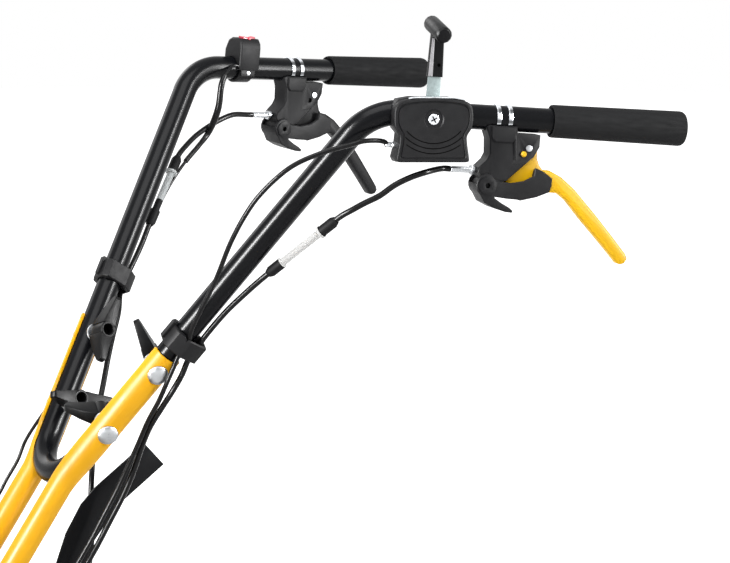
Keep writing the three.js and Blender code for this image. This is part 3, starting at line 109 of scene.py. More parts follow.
def throttle_frame(lean=0.0):
    """The bar's frame at the throttle, turned further by the lean for the blade."""
    turn = Matrix.Rotation(THROTTLE_TURN + lean, 4, "Z")
    return bar_frame(1, THROTTLE_SET) @ moved(0, -THROTTLE_DROP, 0) @ turn


def bolt_frame(side, down):
    """Z runs along the bolt, outwards from the leg."""
    return axle(flip(CORNER + LEG * down, side), flip(LEG_OUT, side), UP)


# Materials
class Look:
    """A procedural material on the Principled shader."""

    def __init__(self, name, colour, rough, metal=0.0, **sockets):
        self.material = bpy.data.materials.new(name)
        self.material.use_nodes = True
        self.tree = self.material.node_tree
        self.shader = self.tree.nodes["Principled BSDF"]
        self.colour = colour
        self.shader.inputs["Base Color"].default_value = (*colour, 1)
        self.shader.inputs["Roughness"].default_value = rough
        self.shader.inputs["Metallic"].default_value = metal
        for socket, value in sockets.items():
            self.shader.inputs[socket.replace("_", " ")].default_value = value
        self.place = self.add("ShaderNodeTexCoord").outputs["Object"]
        self.normal = None

    def add(self, kind, **settings):
        node = self.tree.nodes.new(kind)
        for name, value in settings.items():
            setattr(node, name, value)
        return node

    def link(self, source, target):
        self.tree.links.new(source, target)

    def local(self, matrix):
        """Coordinates in a frame of the object, such as one along a tube."""
        inverse = matrix.inverted()
        node = self.add("ShaderNodeMapping")
        node.inputs["Location"].default_value = inverse.to_translation()
        node.inputs["Rotation"].default_value = inverse.to_euler()
        self.link(self.place, node.inputs["Vector"])
        self.place = node.outputs["Vector"]
        return self

    def noise(self, scale, detail=3.0, stretch=(1, 1, 1)):
        """Noise with scale spots to a metre, drawn out along an axis whose stretch is below 1."""
        source = self.place
        if stretch != (1, 1, 1):
            node = self.add("ShaderNodeMapping")
            node.inputs["Scale"].default_value = stretch
            self.link(source, node.inputs["Vector"])
            source = node.outputs["Vector"]
        node = self.add("ShaderNodeTexNoise")
        node.inputs["Scale"].default_value = scale
        node.inputs["Detail"].default_value = detail
        self.link(source, node.inputs["Vector"])
        return node.outputs["Fac"]

    def spread(self, factor, low, high, start=0.3, end=0.7):
        """The factor's range from start to end, stretched from low to high."""
        node = self.add("ShaderNodeMapRange")
        self.link(factor, node.inputs["Value"])
        for name, value in (("From Min", start), ("From Max", end), ("To Min", low), ("To Max", high)):
            node.inputs[name].default_value = value
        return node.outputs["Result"]

    def along(self, letter):
        """One coordinate of the place."""
        node = self.add("ShaderNodeSeparateXYZ")
        self.link(self.place, node.inputs["Vector"])
        return node.outputs[letter]

    def ripple(self, source, pitch):
        """A wave from 0 to 1 with the given pitch in metres."""
        kinds = ("MULTIPLY", "SINE", "MULTIPLY_ADD")
        turn, wave, half = (self.add("ShaderNodeMath", operation=kind) for kind in kinds)
        turn.inputs[1].default_value = 2 * math.pi / pitch
        half.inputs[1].default_value = half.inputs[2].default_value = 0.5
        self.link(source, turn.inputs[0])
        self.link(turn.outputs[0], wave.inputs[0])
        self.link(wave.outputs[0], half.inputs[0])
        return half.outputs[0]

    def zones(self, source, stops, colours):
        """Flat colours that change at the stops, given as shares of the source's unit range."""
        node = self.add("ShaderNodeValToRGB")
        node.color_ramp.interpolation = "CONSTANT"
        while len(node.color_ramp.elements) < len(stops):
            node.color_ramp.elements.new(0.5)
        for element, place, colour in zip(node.color_ramp.elements, stops, colours):
            element.position = place
            element.color = (*colour, 1)
        self.link(source, node.inputs["Fac"])
        self.link(node.outputs["Color"], self.shader.inputs["Base Color"])
        return self

    def tint(self, factor, dark, light, start=0.3, end=0.7):
        """Colour that varies between two shares of the base colour."""
        node = self.add("ShaderNodeMix", data_type="RGBA")
        self.link(self.spread(factor, 0, 1, start, end), node.inputs["Factor"])
        for socket, share in ((6, dark), (7, light)):
            node.inputs[socket].default_value = (*[min(1, c * share) for c in self.colour], 1)
        self.link(node.outputs[2], self.shader.inputs["Base Color"])
        return self

    def mottle(self, factor, low, high, start=0.3, end=0.7):
        """Roughness that varies between two values."""
        self.link(self.spread(factor, low, high, start, end), self.shader.inputs["Roughness"])
        return self

    def bump(self, height, distance, strength=1.0):
        node = self.add("ShaderNodeBump")
        node.inputs["Strength"].default_value = strength
        node.inputs["Distance"].default_value = distance
        self.link(height, node.inputs["Height"])
        if self.normal is not None:
            self.link(self.normal, node.inputs["Normal"])
        self.normal = node.outputs["Normal"]
        self.link(self.normal, self.shader.inputs["Normal"])
        return self


def gloss(name, colour, rough, **sockets):
    """Powder coat: a gloss film with faint orange peel."""
    look = Look(name, colour, rough, **sockets)
    look.tint(look.noise(9, 2), 0.94, 1.04)
    look.mottle(look.noise(60, 3), rough * 0.85, rough * 1.25)
    return look.bump(look.noise(420, 1), 0.00012, 0.35)


def moulded(name, colour, rough, grain=1500.0, depth=0.00012, **sockets):
    """Moulded plastic with an etched grain."""
    look = Look(name, colour, rough, **sockets)
    look.tint(look.noise(45, 4), 0.85, 1.15)
    look.mottle(look.noise(110, 4), rough * 0.88, rough * 1.1)
    return look.bump(look.noise(grain, 2), depth, 0.6)


def metal(name, colour, rough):
    """Plated or machined metal, faintly uneven."""
    look = Look(name, colour, rough, 1.0)
    look.tint(look.noise(66, 4), 0.82, 1.08)
    look.mottle(look.noise(220, 5), rough * 0.75, rough * 1.35)
    return look.bump(look.noise(440, 3), 0.00006, 0.5)


def cast(name, colour, rough, shine):
    """Cast or enamelled metal with a pebbled surface."""
    look = Look(name, colour, rough, shine)
    look.tint(look.noise(30, 5), 0.8, 1.12)
    look.mottle(look.noise(90, 4), rough * 0.85, rough * 1.2)
    return look.bump(look.noise(700, 3), 0.0003, 0.6)


def rubber(name, colour, rough, grain=900.0):
    """Matt rubber with a dusty grain."""
    look = Look(name, colour, rough, 0.0, Specular_IOR_Level=0.35)
    look.tint(look.noise(25, 4), 0.8, 1.2)
    look.mottle(look.noise(80, 3), rough * 0.92, min(1, rough * 1.08))
    return look.bump(look.noise(grain, 3), 0.0002, 0.6)


black_gloss = Look("black_tube", (0.0045, 0.0048, 0.0060), 0.24, Specular_IOR_Level=0.09)
black_gloss.tint(black_gloss.noise(9, 2), 0.92, 1.06).mottle(black_gloss.noise(3, 1), 0.235, 0.25)
yellow_gloss = gloss("yellow_paint", (0.95, 0.475, 0.006), 0.36, Specular_IOR_Level=0.16)
black_plastic = moulded("black_plastic", (0.0090, 0.0090, 0.0101), 0.5, Specular_IOR_Level=0.10)
yellow_plastic = Look("yellow_plastic", (0.95, 0.535, 0.003), 0.46, Specular_IOR_Level=0.14)
yellow_plastic.tint(yellow_plastic.noise(14, 2), 0.96, 1.03).mottle(yellow_plastic.noise(20, 2), 0.44, 0.48)
yellow_plastic.bump(yellow_plastic.noise(1100, 2), 0.00004, 0.5)
red_plastic = moulded(
    "red_plastic", (0.66, 0.035, 0.07), 0.3, grain=1100.0, depth=0.00004, Specular_IOR_Level=0.4,
)
knob_plastic = moulded(
    "knob_plastic", (0.0052, 0.0053, 0.0059), 0.36, grain=1300.0, depth=0.0001, Specular_IOR_Level=0.08,
)
# Painted highlight: a pale grey for the lit bevel of the black knob's stem
painted_bevel_highlight = moulded("painted_bevel_highlight", (0.40, 0.39, 0.41), 0.45, 900.0, 0.00006)
zinc = metal("zinc", (0.62, 0.64, 0.66), 0.3)
blade_zinc = Look("blade_zinc", (0.155, 0.185, 0.185), 0.5, 1.0)
blade_zinc.tint(blade_zinc.noise(400, 3), 0.92, 1.06).mottle(blade_zinc.noise(300, 3), 0.46, 0.54)
dull_zinc = metal("dull_zinc", (0.34, 0.35, 0.36), 0.36)
hot_steel = metal("muffler_steel", (0.15, 0.148, 0.145), 0.5)
steel = metal("machined_steel", (0.30, 0.305, 0.32), 0.38)
casting = cast("cast_metal", (0.17, 0.175, 0.182), 0.55, 0.3)
dark_enamel = cast("dark_enamel", (0.03, 0.031, 0.034), 0.42, 0.2)
jacket = Look("cable_jacket", (0.0062, 0.0062, 0.0068), 0.26, Specular_IOR_Level=0.12)
jacket.tint(jacket.noise(60, 2), 0.85, 1.2).mottle(jacket.noise(40, 2), 0.24, 0.30)
tyre = rubber("tyre_rubber", (0.016, 0.016, 0.0165), 0.86)
belt = rubber("belt_rubber", (0.02, 0.019, 0.019), 0.8, 1500.0)
# Painted shade: a near-black laid over grooves, recesses and holes where shade falls
painted_recess_shade = Look("deep_shadow", (0.002, 0.002, 0.002), 0.9, Specular_IOR_Level=0.0)
painted_recess_shade.tint(painted_recess_shade.noise(90), 0.8, 1.2)


def grip_look(name, side):
    """Foam rubber with faint lines along the grip."""
    look = Look(f"grip_rubber_{name}", (0.0058, 0.0060, 0.0067), 0.82, Specular_IOR_Level=0.09)
    look.local(bar_frame(side, GRIP_START))
    look.tint(look.noise(260, 3, (0.06, 1, 1)), 0.82, 1.25)
    look.mottle(look.noise(300, 4, (0.2, 1, 1)), 0.72, 0.92)
    look.bump(look.noise(620, 3, (0.05, 1, 1)), 0.00022, 0.5)
    return look.bump(look.noise(2600, 2), 0.00012, 0.5)


def finish(obj, look):
    obj.data.materials.clear()
    obj.data.materials.append(look.material)


def by_angle(limit):
    """Geometry nodes that shade smooth everywhere but over edges sharper than the limit."""
    group = bpy.data.node_groups.new(f"smooth_{round(math.degrees(limit))}", "GeometryNodeTree")
    group.interface.new_socket("Geometry", in_out="INPUT", socket_type="NodeSocketGeometry")
    group.interface.new_socket("Geometry", in_out="OUTPUT", socket_type="NodeSocketGeometry")
    source, result = group.nodes.new("NodeGroupInput"), group.nodes.new("NodeGroupOutput")
    angle = group.nodes.new("GeometryNodeInputMeshEdgeAngle")
    compare = group.nodes.new("FunctionNodeCompare")
    compare.operation = "LESS_EQUAL"
    compare.inputs["B"].default_value = limit
    faces, edges = (group.nodes.new("GeometryNodeSetShadeSmooth") for _ in range(2))
    edges.domain = "EDGE"
    group.links.new(angle.outputs["Unsigned Angle"], compare.inputs["A"])
    group.links.new(compare.outputs["Result"], edges.inputs["Shade Smooth"])
    group.links.new(source.outputs[0], faces.inputs["Geometry"])
    group.links.new(faces.outputs["Geometry"], edges.inputs["Geometry"])
    group.links.new(edges.outputs["Geometry"], result.inputs[0])
    return group


SMOOTH = by_angle(math.radians(32))


def soften(obj, bevel=0.0, segments=2, weld=True):
    """Joins the split corners, rounds the sharp edges a little and shades the rest smooth."""
    if weld:
        obj.modifiers.new("weld", "WELD").merge_threshold = 1e-5
    if bevel:
        rounding = obj.modifiers.new("bevel", "BEVEL")
        rounding.width = bevel
        rounding.segments = segments
        rounding.angle_limit = math.radians(34)
        rounding.use_clamp_overlap = True
    obj.modifiers.new("smooth", "NODES").node_group = SMOOTH
    return obj


# Routes of the held cords, as given points, before the frame's shift along X
throttle_route = [
    (-0.007, 0.2361, 0.981), (0.0141, 0.2372, 0.9829), (0.0291, 0.2363, 0.9799),
    (0.0601, 0.2326, 0.9728), (0.0872, 0.2229, 0.9597), (0.1123, 0.2073, 0.9326),
    (0.1234, 0.1966, 0.9115), (0.1324, 0.1819, 0.8834), (0.1395, 0.1603, 0.8432),
    (0.1487, 0.143, 0.8107), (0.1539, 0.1308, 0.7882), (0.1543, 0.1263, 0.7778),
    (0.1587, 0.1226, 0.7695), (0.1632, 0.119, 0.7614), (0.1671, 0.1161, 0.7497),
    (0.1725, 0.1136, 0.7363), (0.1775, 0.1022, 0.7143), (0.1842, 0.0891, 0.6916),
    (0.19, 0.0761, 0.666), (0.197, 0.066, 0.642), (0.206, 0.057, 0.616), (0.218, 0.05, 0.589),
    (0.23, 0.045, 0.564), (0.242, 0.042, 0.543), (0.268, 0.032, 0.495), (0.31, 0.016, 0.445),
    (0.37, 0.01, 0.418), (0.45, 0.01, 0.408), (0.514, 0.012, 0.406), (0.5294, 0.012, 0.406),
]
clutch_left_route = [
    (-0.0458, 0.2471, 0.9496), (-0.0306, 0.2443, 0.945), (-0.0163, 0.2405, 0.9381),
    (-0.0028, 0.2347, 0.9278), (0.0103, 0.2278, 0.9204), (0.0214, 0.222, 0.9134),
    (0.0294, 0.2153, 0.9073), (0.0439, 0.2012, 0.891), (0.0585, 0.1872, 0.8746),
    (0.0731, 0.1732, 0.8583), (0.0876, 0.1591, 0.842), (0.1037, 0.1489, 0.8249),
    (0.1198, 0.1376, 0.8056), (0.1367, 0.1252, 0.7805), (0.1414, 0.1211, 0.7717),
    (0.1461, 0.1175, 0.7636), (0.1507, 0.1143, 0.7553), (0.1564, 0.1125, 0.7413),
    (0.1656, 0.1088, 0.7241), (0.1715, 0.1001, 0.7093), (0.1802, 0.0849, 0.6847),
    (0.184, 0.0721, 0.663), (0.189, 0.062, 0.637), (0.198, 0.055, 0.61), (0.21, 0.048, 0.583),
    (0.222, 0.043, 0.558), (0.234, 0.04, 0.536), (0.258, 0.034, 0.48), (0.28, 0.03, 0.4),
    (0.29, 0.028, 0.32), (0.298, 0.028, 0.258), (0.312, 0.028, 0.224), (0.3292, 0.028, 0.222),
]
clutch_right_route = [
    (-0.0494, -0.2306, 0.953), (-0.0248, -0.2232, 0.9463), (0.0018, -0.2122, 0.9353),
    (0.0186, -0.2027, 0.9256), (0.0313, -0.194, 0.9167), (0.0443, -0.184, 0.8994),
    (0.0574, -0.174, 0.882), (0.0705, -0.1641, 0.8646), (0.0835, -0.154, 0.8473),
    (0.0956, -0.1445, 0.8301), (0.1125, -0.1324, 0.8092), (0.1209, -0.1272, 0.7992),
    (0.1261, -0.1234, 0.7915), (0.131, -0.1188, 0.7841), (0.1394, -0.103, 0.7668),
    (0.1504, -0.09, 0.7473), (0.1619, -0.076, 0.7261), (0.1733, -0.062, 0.7008),
    (0.185, -0.047, 0.6771), (0.1944, -0.034, 0.6508), (0.2024, -0.023, 0.6188),
    (0.2083, -0.014, 0.5735), (0.2113, -0.0095, 0.5289), (0.229, -0.008, 0.47), (0.245, -0.008, 0.4),
    (0.27, -0.008, 0.32), (0.298, -0.008, 0.25), (0.312, -0.008, 0.212), (0.3292, -0.008, 0.206),
]
stop_wire_route = [
    (-0.027, -0.205, 0.995), (-0.0221, -0.206, 0.9659), (-0.0181, -0.211, 0.9489),
    (-0.0133, -0.217, 0.9351), (0.0016, -0.209, 0.923), (0.0186, -0.2, 0.9107),
    (0.036, -0.19, 0.8959), (0.0495, -0.1835, 0.881), (0.0624, -0.1752, 0.8654),
    (0.0749, -0.1665, 0.8499), (0.087, -0.1573, 0.8335), (0.098, -0.1492, 0.8191),
    (0.1115, -0.1383, 0.8056), (0.1223, -0.1333, 0.7971), (0.1276, -0.1293, 0.7896),
    (0.133, -0.1262, 0.7817), (0.1598, -0.1136, 0.7435), (0.1937, -0.1006, 0.7075),
    (0.2291, -0.0837, 0.6746), (0.2608, -0.0617, 0.6478), (0.271, -0.058, 0.629),
    (0.284, -0.058, 0.609), (0.291, -0.058, 0.597), (0.33, -0.06, 0.54), (0.39, -0.058, 0.47),
    (0.46, -0.046, 0.418), (0.514, -0.038, 0.398), (0.5294, -0.038, 0.397),
]


def shifted(points):
    return [Vector(point) + Vector((SHIFT, 0, 0)) for point in points]


# The sleeve on a clutch cable, and the boots at its ends. The right one's lower boot is longer.
SLEEVE, BOOT, LONG_BOOT = 0.091, 0.019, 0.033
SLEEVE_POINTS = 4


def sleeve_frame(route, first):
    """A frame at the sleeve's upper end, which lies at a point of the route, with Z along the sleeve."""
    start, end = shifted([route[first], route[first + SLEEVE_POINTS]])
    run = end - start
    return axle(start + run.normalized() * (run.length - SLEEVE) / 2, run)


def sleeve_look(name, matrix, colour, last_boot=BOOT):
    """Black boots at both ends of a pale sleeve."""
    look = Look(name, colour, 0.6, Specular_IOR_Level=0.06).local(matrix)
    share = look.spread(look.along("Z"), 0, 1, 0, SLEEVE)
    boot = (0.010, 0.010, 0.011)
    stops = (0, BOOT / SLEEVE, 1 - last_boot / SLEEVE)
    return look.zones(share, stops, (boot, colour, boot)).mottle(look.noise(12, 1), 0.56, 0.64)


# Pitch of the thread, and of the painted light and dark reflections on the clamp bands
THREAD_PITCH, BAND_REFLECTION_PITCH = 0.0016, 0.0105


def thread_look(name, side):
    """Zinc with a fine thread, each groove darkened by painted shade as well as bumped."""
    look = Look(name, (0.46, 0.475, 0.49), 0.3, 1.0).local(bar_frame(side, LEVER_SET))
    thread_and_groove_shade = look.ripple(look.along("X"), THREAD_PITCH)
    # Painted shade: the colour darkens in the grooves, on top of the bump
    return look.tint(thread_and_groove_shade, 0.72, 1.05, 0.0, 1.0).bump(thread_and_groove_shade, 0.00007)


def band_look(name, side):
    """Zinc band with painted reflections: light and dark stretches across the bar, changing with height."""
    look = Look(name, (0.70, 0.72, 0.75), 0.24, 1.0).local(bar_frame(side, LEVER_SET))
    # Painted reflection: the colour runs dark and light with height up the band
    painted_reflection_stripes = look.ripple(look.along("Y"), BAND_REFLECTION_PITCH)
    return look.tint(painted_reflection_stripes, 0.16, 1.25, 0.1, 0.75).bump(look.noise(500), 0.00004)


sleeve_left = sleeve_look("sleeve_left", sleeve_frame(clutch_left_route, 6), (0.72, 0.72, 0.71))
sleeve_right = sleeve_look(
    "sleeve_right", sleeve_frame(clutch_right_route, 4), (0.56, 0.585, 0.59), LONG_BOOT,
)

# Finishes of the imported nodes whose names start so: the look, and the rounding of the edges in mm
finishes = {
    "lever_bracket": (black_plastic, 0.4),
    "clutch_lever_left": (yellow_plastic, 0.6),
    "clutch_lever_right": (black_plastic, 0.6),
    "lock_latch": (black_plastic, 0.4),
    "lever_pin_left": (dull_zinc, 0.2),
    "lever_pin_right": (zinc, 0.2),
    "cable_adjuster_left": (thread_look("thread_left", 1), 0.2),
    "cable_adjuster_right": (thread_look("thread_right", -1), 0.2),
    "cable_tensioner_left": (sleeve_left, 0),
    "cable_tensioner_right": (sleeve_right, 0),
    "throttle_case": (black_plastic, 0.4),
    "throttle_blade": (blade_zinc, 0.2),
    "throttle_knob": (knob_plastic, 0.5),
    "throttle_pivot_screw": (zinc, 0.2),
    "stop_switch_case": (black_plastic, 0.4),
    "stop_switch_strap": (black_plastic, 0.4),
    "stop_switch_rocker": (red_plastic, 0.3),
    "cable_clip": (black_plastic, 0.5),
    "clutch_cable": (jacket, 0),
    "throttle_cable": (jacket, 0),
    "stop_wire": (jacket, 0),
    "handlebar_tube": (black_gloss, 0),
    "grip": (black_plastic, 0),
    "handle_tube": (yellow_gloss, 0.3),
    "carriage_bolt": (dull_zinc, 0.2),
    "wing_knob": (knob_plastic, 0.7),
    "deflector_lever": (black_gloss, 0.4),
    "chassis_deck": (black_gloss, 0.6),
    "gearbox": (casting, 1.0),
    "rear_axle": (steel, 0.5),
    "wheel_rim": (yellow_gloss, 0.6),
    "tyre": (tyre, 0.6),
    "front_fork": (black_gloss, 0.6),
    "front_wheel_rim": (yellow_gloss, 0.6),
    "front_tyre": (tyre, 0.6),
    "crankshaft": (steel, 0.3),
    "input_pulley": (steel, 0.3),
    "drive_belt": (belt, 0.3),
    "engine_block": (casting, 0.8),
    "recoil_cover": (yellow_gloss, 1.0),
    "fuel_tank": (dark_enamel, 1.0),
    "muffler": (hot_steel, 0.8),
    "fan_housing": (yellow_gloss, 0.8),
    "impeller": (steel, 0.4),
    "outlet_flap": (black_gloss, 0.4),
}
for name, obj in nodes.items():
    longest = max((start for start in finishes if name.startswith(start)), key=len)
    look, edge = finishes[longest]
    finish(obj, look)
    soften(obj, edge / 1000)


# Makers of pieces
def mesh_piece(name, vertices, faces, look, body, matrix=None, bevel=0.0, slot=None, segments=2):
    """A piece that rides on a body, from points and faces in the frame of the matrix."""
    mesh = bpy.data.meshes.new(name)
    mesh.from_pydata([tuple(v) for v in vertices], [], faces)
    mesh.validate()
    build = bmesh.new()
    build.from_mesh(mesh)
    bmesh.ops.remove_doubles(build, verts=build.verts, dist=1e-7)
    bmesh.ops.recalc_face_normals(build, faces=build.faces)
    if matrix is not None:
        bmesh.ops.transform(build, matrix=matrix, verts=build.verts)
    build.to_mesh(mesh)
    build.free()
    obj = bpy.data.objects.new(name, mesh)
    scene.collection.objects.link(obj)
    finish(obj, look)
    soften(obj, bevel, segments, weld=False)
    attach(obj, body)
    return obj


def on_circle(radius, angle):
    return radius * math.cos(angle), radius * math.sin(angle)


def prism(outline, z0, z1):
    """Vertices and faces of a plate in the XY plane."""
    count = len(outline)
    vertices = [(x, y, z) for z in (z0, z1) for x, y in outline]
    sides = [(i, (i + 1) % count, (i + 1) % count + count, i + count) for i in range(count)]
    return vertices, [*sides, tuple(range(count - 1, -1, -1)), tuple(range(count, 2 * count))]


def lathe(profile, sides):
    """Vertices and faces of a solid turned about Z, from (radius, z) points."""
    vertices, faces = [], []
    for i in range(sides):
        angle = 2 * math.pi * i / sides
        vertices += [(*on_circle(r, angle), z) for r, z in profile]
    count = len(profile)
    for i in range(sides):
        a, b = i * count, (i + 1) % sides * count
        faces += [(a + k, a + k + 1, b + k + 1, b + k) for k in range(count - 1)]
    return vertices, faces


def tube_mesh(points, radius, sides):
    """A round tube through the points that doesn't twist. The radius is a number or a function."""
    vertices, faces = [], []
    last = len(points) - 1
    across = (points[1] - points[0]).orthogonal()
    for i, point in enumerate(points):
        ahead = (points[min(i + 1, last)] - points[max(i - 1, 0)]).normalized()
        across = (across - ahead * across.dot(ahead)).normalized()
        over = ahead.cross(across)
        size = radius(i) if callable(radius) else radius
        for k in range(sides):
            x, y = on_circle(size, 2 * math.pi * k / sides)
            vertices.append(point + across * x + over * y)
    for i in range(len(points) - 1):
        for k in range(sides):
            a, b = i * sides + k, i * sides + (k + 1) % sides
            faces.append((a, b, b + sides, a + sides))
    end = len(vertices) - sides
    faces += [tuple(range(sides - 1, -1, -1)), tuple(range(end, len(vertices)))]
    return vertices, faces


def bent(points, radii, steps):
    """Points along straight runs with a true bend at each inner corner."""
    result = [points[0]]
    for before, corner, after, radius in zip(points, points[1:], points[2:], radii):
        into, out = (corner - before).normalized(), (after - corner).normalized()
        turn = into.angle(out)
        axis = into.cross(out).normalized()
        inward = axis.cross(into)
        centre = corner - into * radius * math.tan(turn / 2) + inward * radius
        for k in range(steps + 1):
            arm = Matrix.Rotation(turn * k / steps, 3, axis) @ inward
            result.append(centre - arm * radius)
    return [*result, points[-1]]


# The bent handlebar tube and the grips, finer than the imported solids
BAR_BEND, LOOP_BEND = 0.057, 0.0546
apex = CORNER + LEG * (HALF_WIDTH / math.sin(TAPER))
bar_end = CORNER + RUN * BAR_LENGTH
corners = [bar_end, CORNER, apex, flip(CORNER, -1), flip(bar_end, -1)]
line = bent(corners, [BAR_BEND, LOOP_BEND, BAR_BEND], 28)
handle = mesh_piece(
    "handlebar_bent_tube", *tube_mesh(line, TUBE / 2, 48), black_gloss, "machine", slot="black_tube",
)
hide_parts("handlebar_tube")

# Radii of a grip: on the bar, at its inner end and at its outer end
GRIP_BORE, GRIP_INNER, GRIP_OUTER = 0.01265, 0.0163, 0.0174
grip_profile = [
    (GRIP_BORE, 0.002),
    (0.0140, 0.0006),
    (GRIP_INNER - 0.0012, 0.0003),
    (GRIP_INNER - 0.0003, 0.0008),
    (GRIP_INNER, 0.0025),
    ((GRIP_INNER + GRIP_OUTER) / 2, GRIP_LENGTH / 2),
    (GRIP_OUTER, GRIP_LENGTH - 0.0052),
    (GRIP_OUTER - 0.0005, GRIP_LENGTH - 0.0028),
    (GRIP_OUTER - 0.0018, GRIP_LENGTH - 0.001),
    (GRIP_OUTER - 0.0038, GRIP_LENGTH - 0.0002),
    (0.006, GRIP_LENGTH - 0.0001),
    (0.0, GRIP_LENGTH - 0.0001),
]
for name, side in SIDES:
    grip = mesh_piece(
        f"grip_sleeve_{name}", *lathe(grip_profile, 64), grip_look(name, side), "machine",
        axle(flip(CORNER + RUN * GRIP_START, side), flip(RUN, side)), slot="grip_rubber",
    )
    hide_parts(f"grip_{name}")


def wrapped(radius, start, end, steps):
    """Points on an arc from one angle to another."""
    return [on_circle(radius, start + (end - start) * i / steps) for i in range(steps + 1)]


# Zinc bands that hold the lever brackets on the bar
BAND_PLACES = {"outer": 0.0206, "inner": 0.0325}
BAND_WIDTH = 0.0043
BAND_OUTER, BAND_INNER = 0.0137, 0.01262
BAND_START, BAND_END = math.radians(-24), math.radians(204)
# Swaps X and Z, so that a prism's depth runs along the bar
ACROSS = Matrix(((0, 0, 1, 0), (0, 1, 0, 0), (1, 0, 0, 0), (0, 0, 0, 1)))
outer_arc, inner_arc = (wrapped(radius, BAND_START, BAND_END, 40) for radius in (BAND_OUTER, BAND_INNER))
for name, side in SIDES:
    band = band_look(f"band_{name}", side)
    for which, place in BAND_PLACES.items():
        plate = prism([*outer_arc, *reversed(inner_arc)], place, place + BAND_WIDTH)
        mesh_piece(
            f"clamp_band_{which}_{name}", *plate, band, "machine",
            bar_frame(side, LEVER_SET) @ ACROSS, 0.0003, "zinc",
        )


# Cords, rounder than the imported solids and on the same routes
def cord_end(matrix, x, y, z, lead=0.007):
    """The first two points of a cord: inside its case or adjuster, and just out of it."""
    return [matrix @ Vector((place, y, z)) for place in (x, x - lead)]


def smooth_route(points, steps=8):
    """Smooth curve through the points that doesn't loop where they lie close (centripetal)."""
    ends = [points[0] * 2 - points[1], *points, points[-1] * 2 - points[-2]]
    result = []
    for a, b, c, d in zip(ends, ends[1:], ends[2:], ends[3:]):
        first, middle, last = (math.sqrt((q - p).length) for p, q in ((a, b), (b, c), (c, d)))
        leave = ((b - a) / first - (c - a) / (first + middle) + (c - b) / middle) * middle
        arrive = ((c - b) / middle - (d - b) / (middle + last) + (d - c) / last) * middle
        for k in range(steps):
            t = k / steps
            bend = (c - b) * 3 - leave * 2 - arrive
            swing = (b - c) * 2 + leave + arrive
            result.append(b + leave * t + bend * t * t + swing * t ** 3)
    return [*result, points[-1]]


# Thickness of each cord, and where the throttle cable and the stop wire leave their cases
CLUTCH_CORD, THROTTLE_CORD, STOP_CORD = 0.0061, 0.0049, 0.0037
CASE_EXIT = (-0.03476, -0.025675, 0.010665)
SWITCH_EXIT = (-0.0003, 0.00408, 0.01505)
left_exit, right_exit = (
    cord_end(bar_frame(side, LEVER_SET), -ADJUSTER_MOUTH, -ADJUSTER_DROP, 0) for _, side in SIDES
)
cords = {
    "clutch_cable_left": (left_exit, clutch_left_route, CLUTCH_CORD),
    "clutch_cable_right": (right_exit, clutch_right_route, CLUTCH_CORD),
    "throttle_cable": (cord_end(throttle_frame(), *CASE_EXIT), throttle_route, THROTTLE_CORD),
    "stop_wire": (cord_end(bar_frame(-1, SWITCH_SET), *SWITCH_EXIT), stop_wire_route, STOP_CORD),
}
for name, (exit_points, route, thickness) in cords.items():
    line = smooth_route([*exit_points, *shifted(route)])
    tube = tube_mesh(line, thickness / 2, 16)
    cord = mesh_piece(f"{name}_jacket", *tube, jacket, "machine", slot="cable_jacket")
    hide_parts(name)


def turned(name, profile, look, body, place, slot, sides=24, bevel=0.0):
    """A turned piece, from (radius, z) points."""
    return mesh_piece(name, *lathe(profile, sides), look, body, place, bevel, slot)


def rounded(points, radius, steps=4):
    """A closed outline with its corners rounded."""
    result = []
    corners = [Vector(point) for point in points]
    for i, corner in enumerate(corners):
        ahead, behind = corners[(i + 1) % len(corners)] - corner, corners[i - 1] - corner
        start = corner + behind.normalized() * min(radius, behind.length / 2)
        end = corner + ahead.normalized() * min(radius, ahead.length / 2)
        for k in range(steps):
            t = (k + 0.5) / steps
            result.append(start * (1 - t) ** 2 + corner * 2 * t * (1 - t) + end * t * t)
    return result


def between(outer, inner, share):
    return [a.lerp(b, share) for a, b in zip(outer, inner)]


def both_halves(top, half):
    """A closed outline from its top point and its right half."""
    return [top, *half, *[(-x, y) for x, y in reversed(half)]]


def stacked(rings):
    """Vertices and faces of a solid through rings with equal counts, closed at both ends."""
    count = len(rings[0])
    vertices = [vertex for ring in rings for vertex in ring]
    faces = [
        (r * count + k, r * count + (k + 1) % count, (r + 1) * count + (k + 1) % count, (r + 1) * count + k)
        for r in range(len(rings) - 1) for k in range(count)
    ]
    last = (len(rings) - 1) * count
    ends = [tuple(range(count)), tuple(range(last + count - 1, last - 1, -1))]
    return vertices, [*faces, *ends]


# Throttle cover: arched outline, raised rim and dished recess. Heights are along the pivot.
COVER_BACK, COVER_RIM, COVER_PANEL = 0.01715, 0.0266, 0.0262
half_cover = [
    (0.0145, 0.0205), (0.0275, 0.0190), (0.0350, 0.0168), (0.0386, 0.0128), (0.0400, 0.0056),
    (0.0397, -0.0040), (0.0383, -0.0094), (0.0335, -0.0162), (0.0345, -0.0250), (0.0372, -0.0405),
    (0.0345, -0.0418),
]
half_panel = [
    (0.0135, 0.0157), (0.0255, 0.0143), (0.0310, 0.0126), (0.0340, 0.0096), (0.0350, 0.0048),
    (0.0347, -0.0030), (0.0335, -0.0072), (0.0287, -0.0150), (0.0297, -0.0250), (0.0318, -0.0358),
    (0.0298, -0.0370),
]
cover_outline = rounded(both_halves((0, 0.0213), half_cover), 0.0035)
panel_outline = rounded(both_halves((0, 0.0164), half_panel), 0.0030)
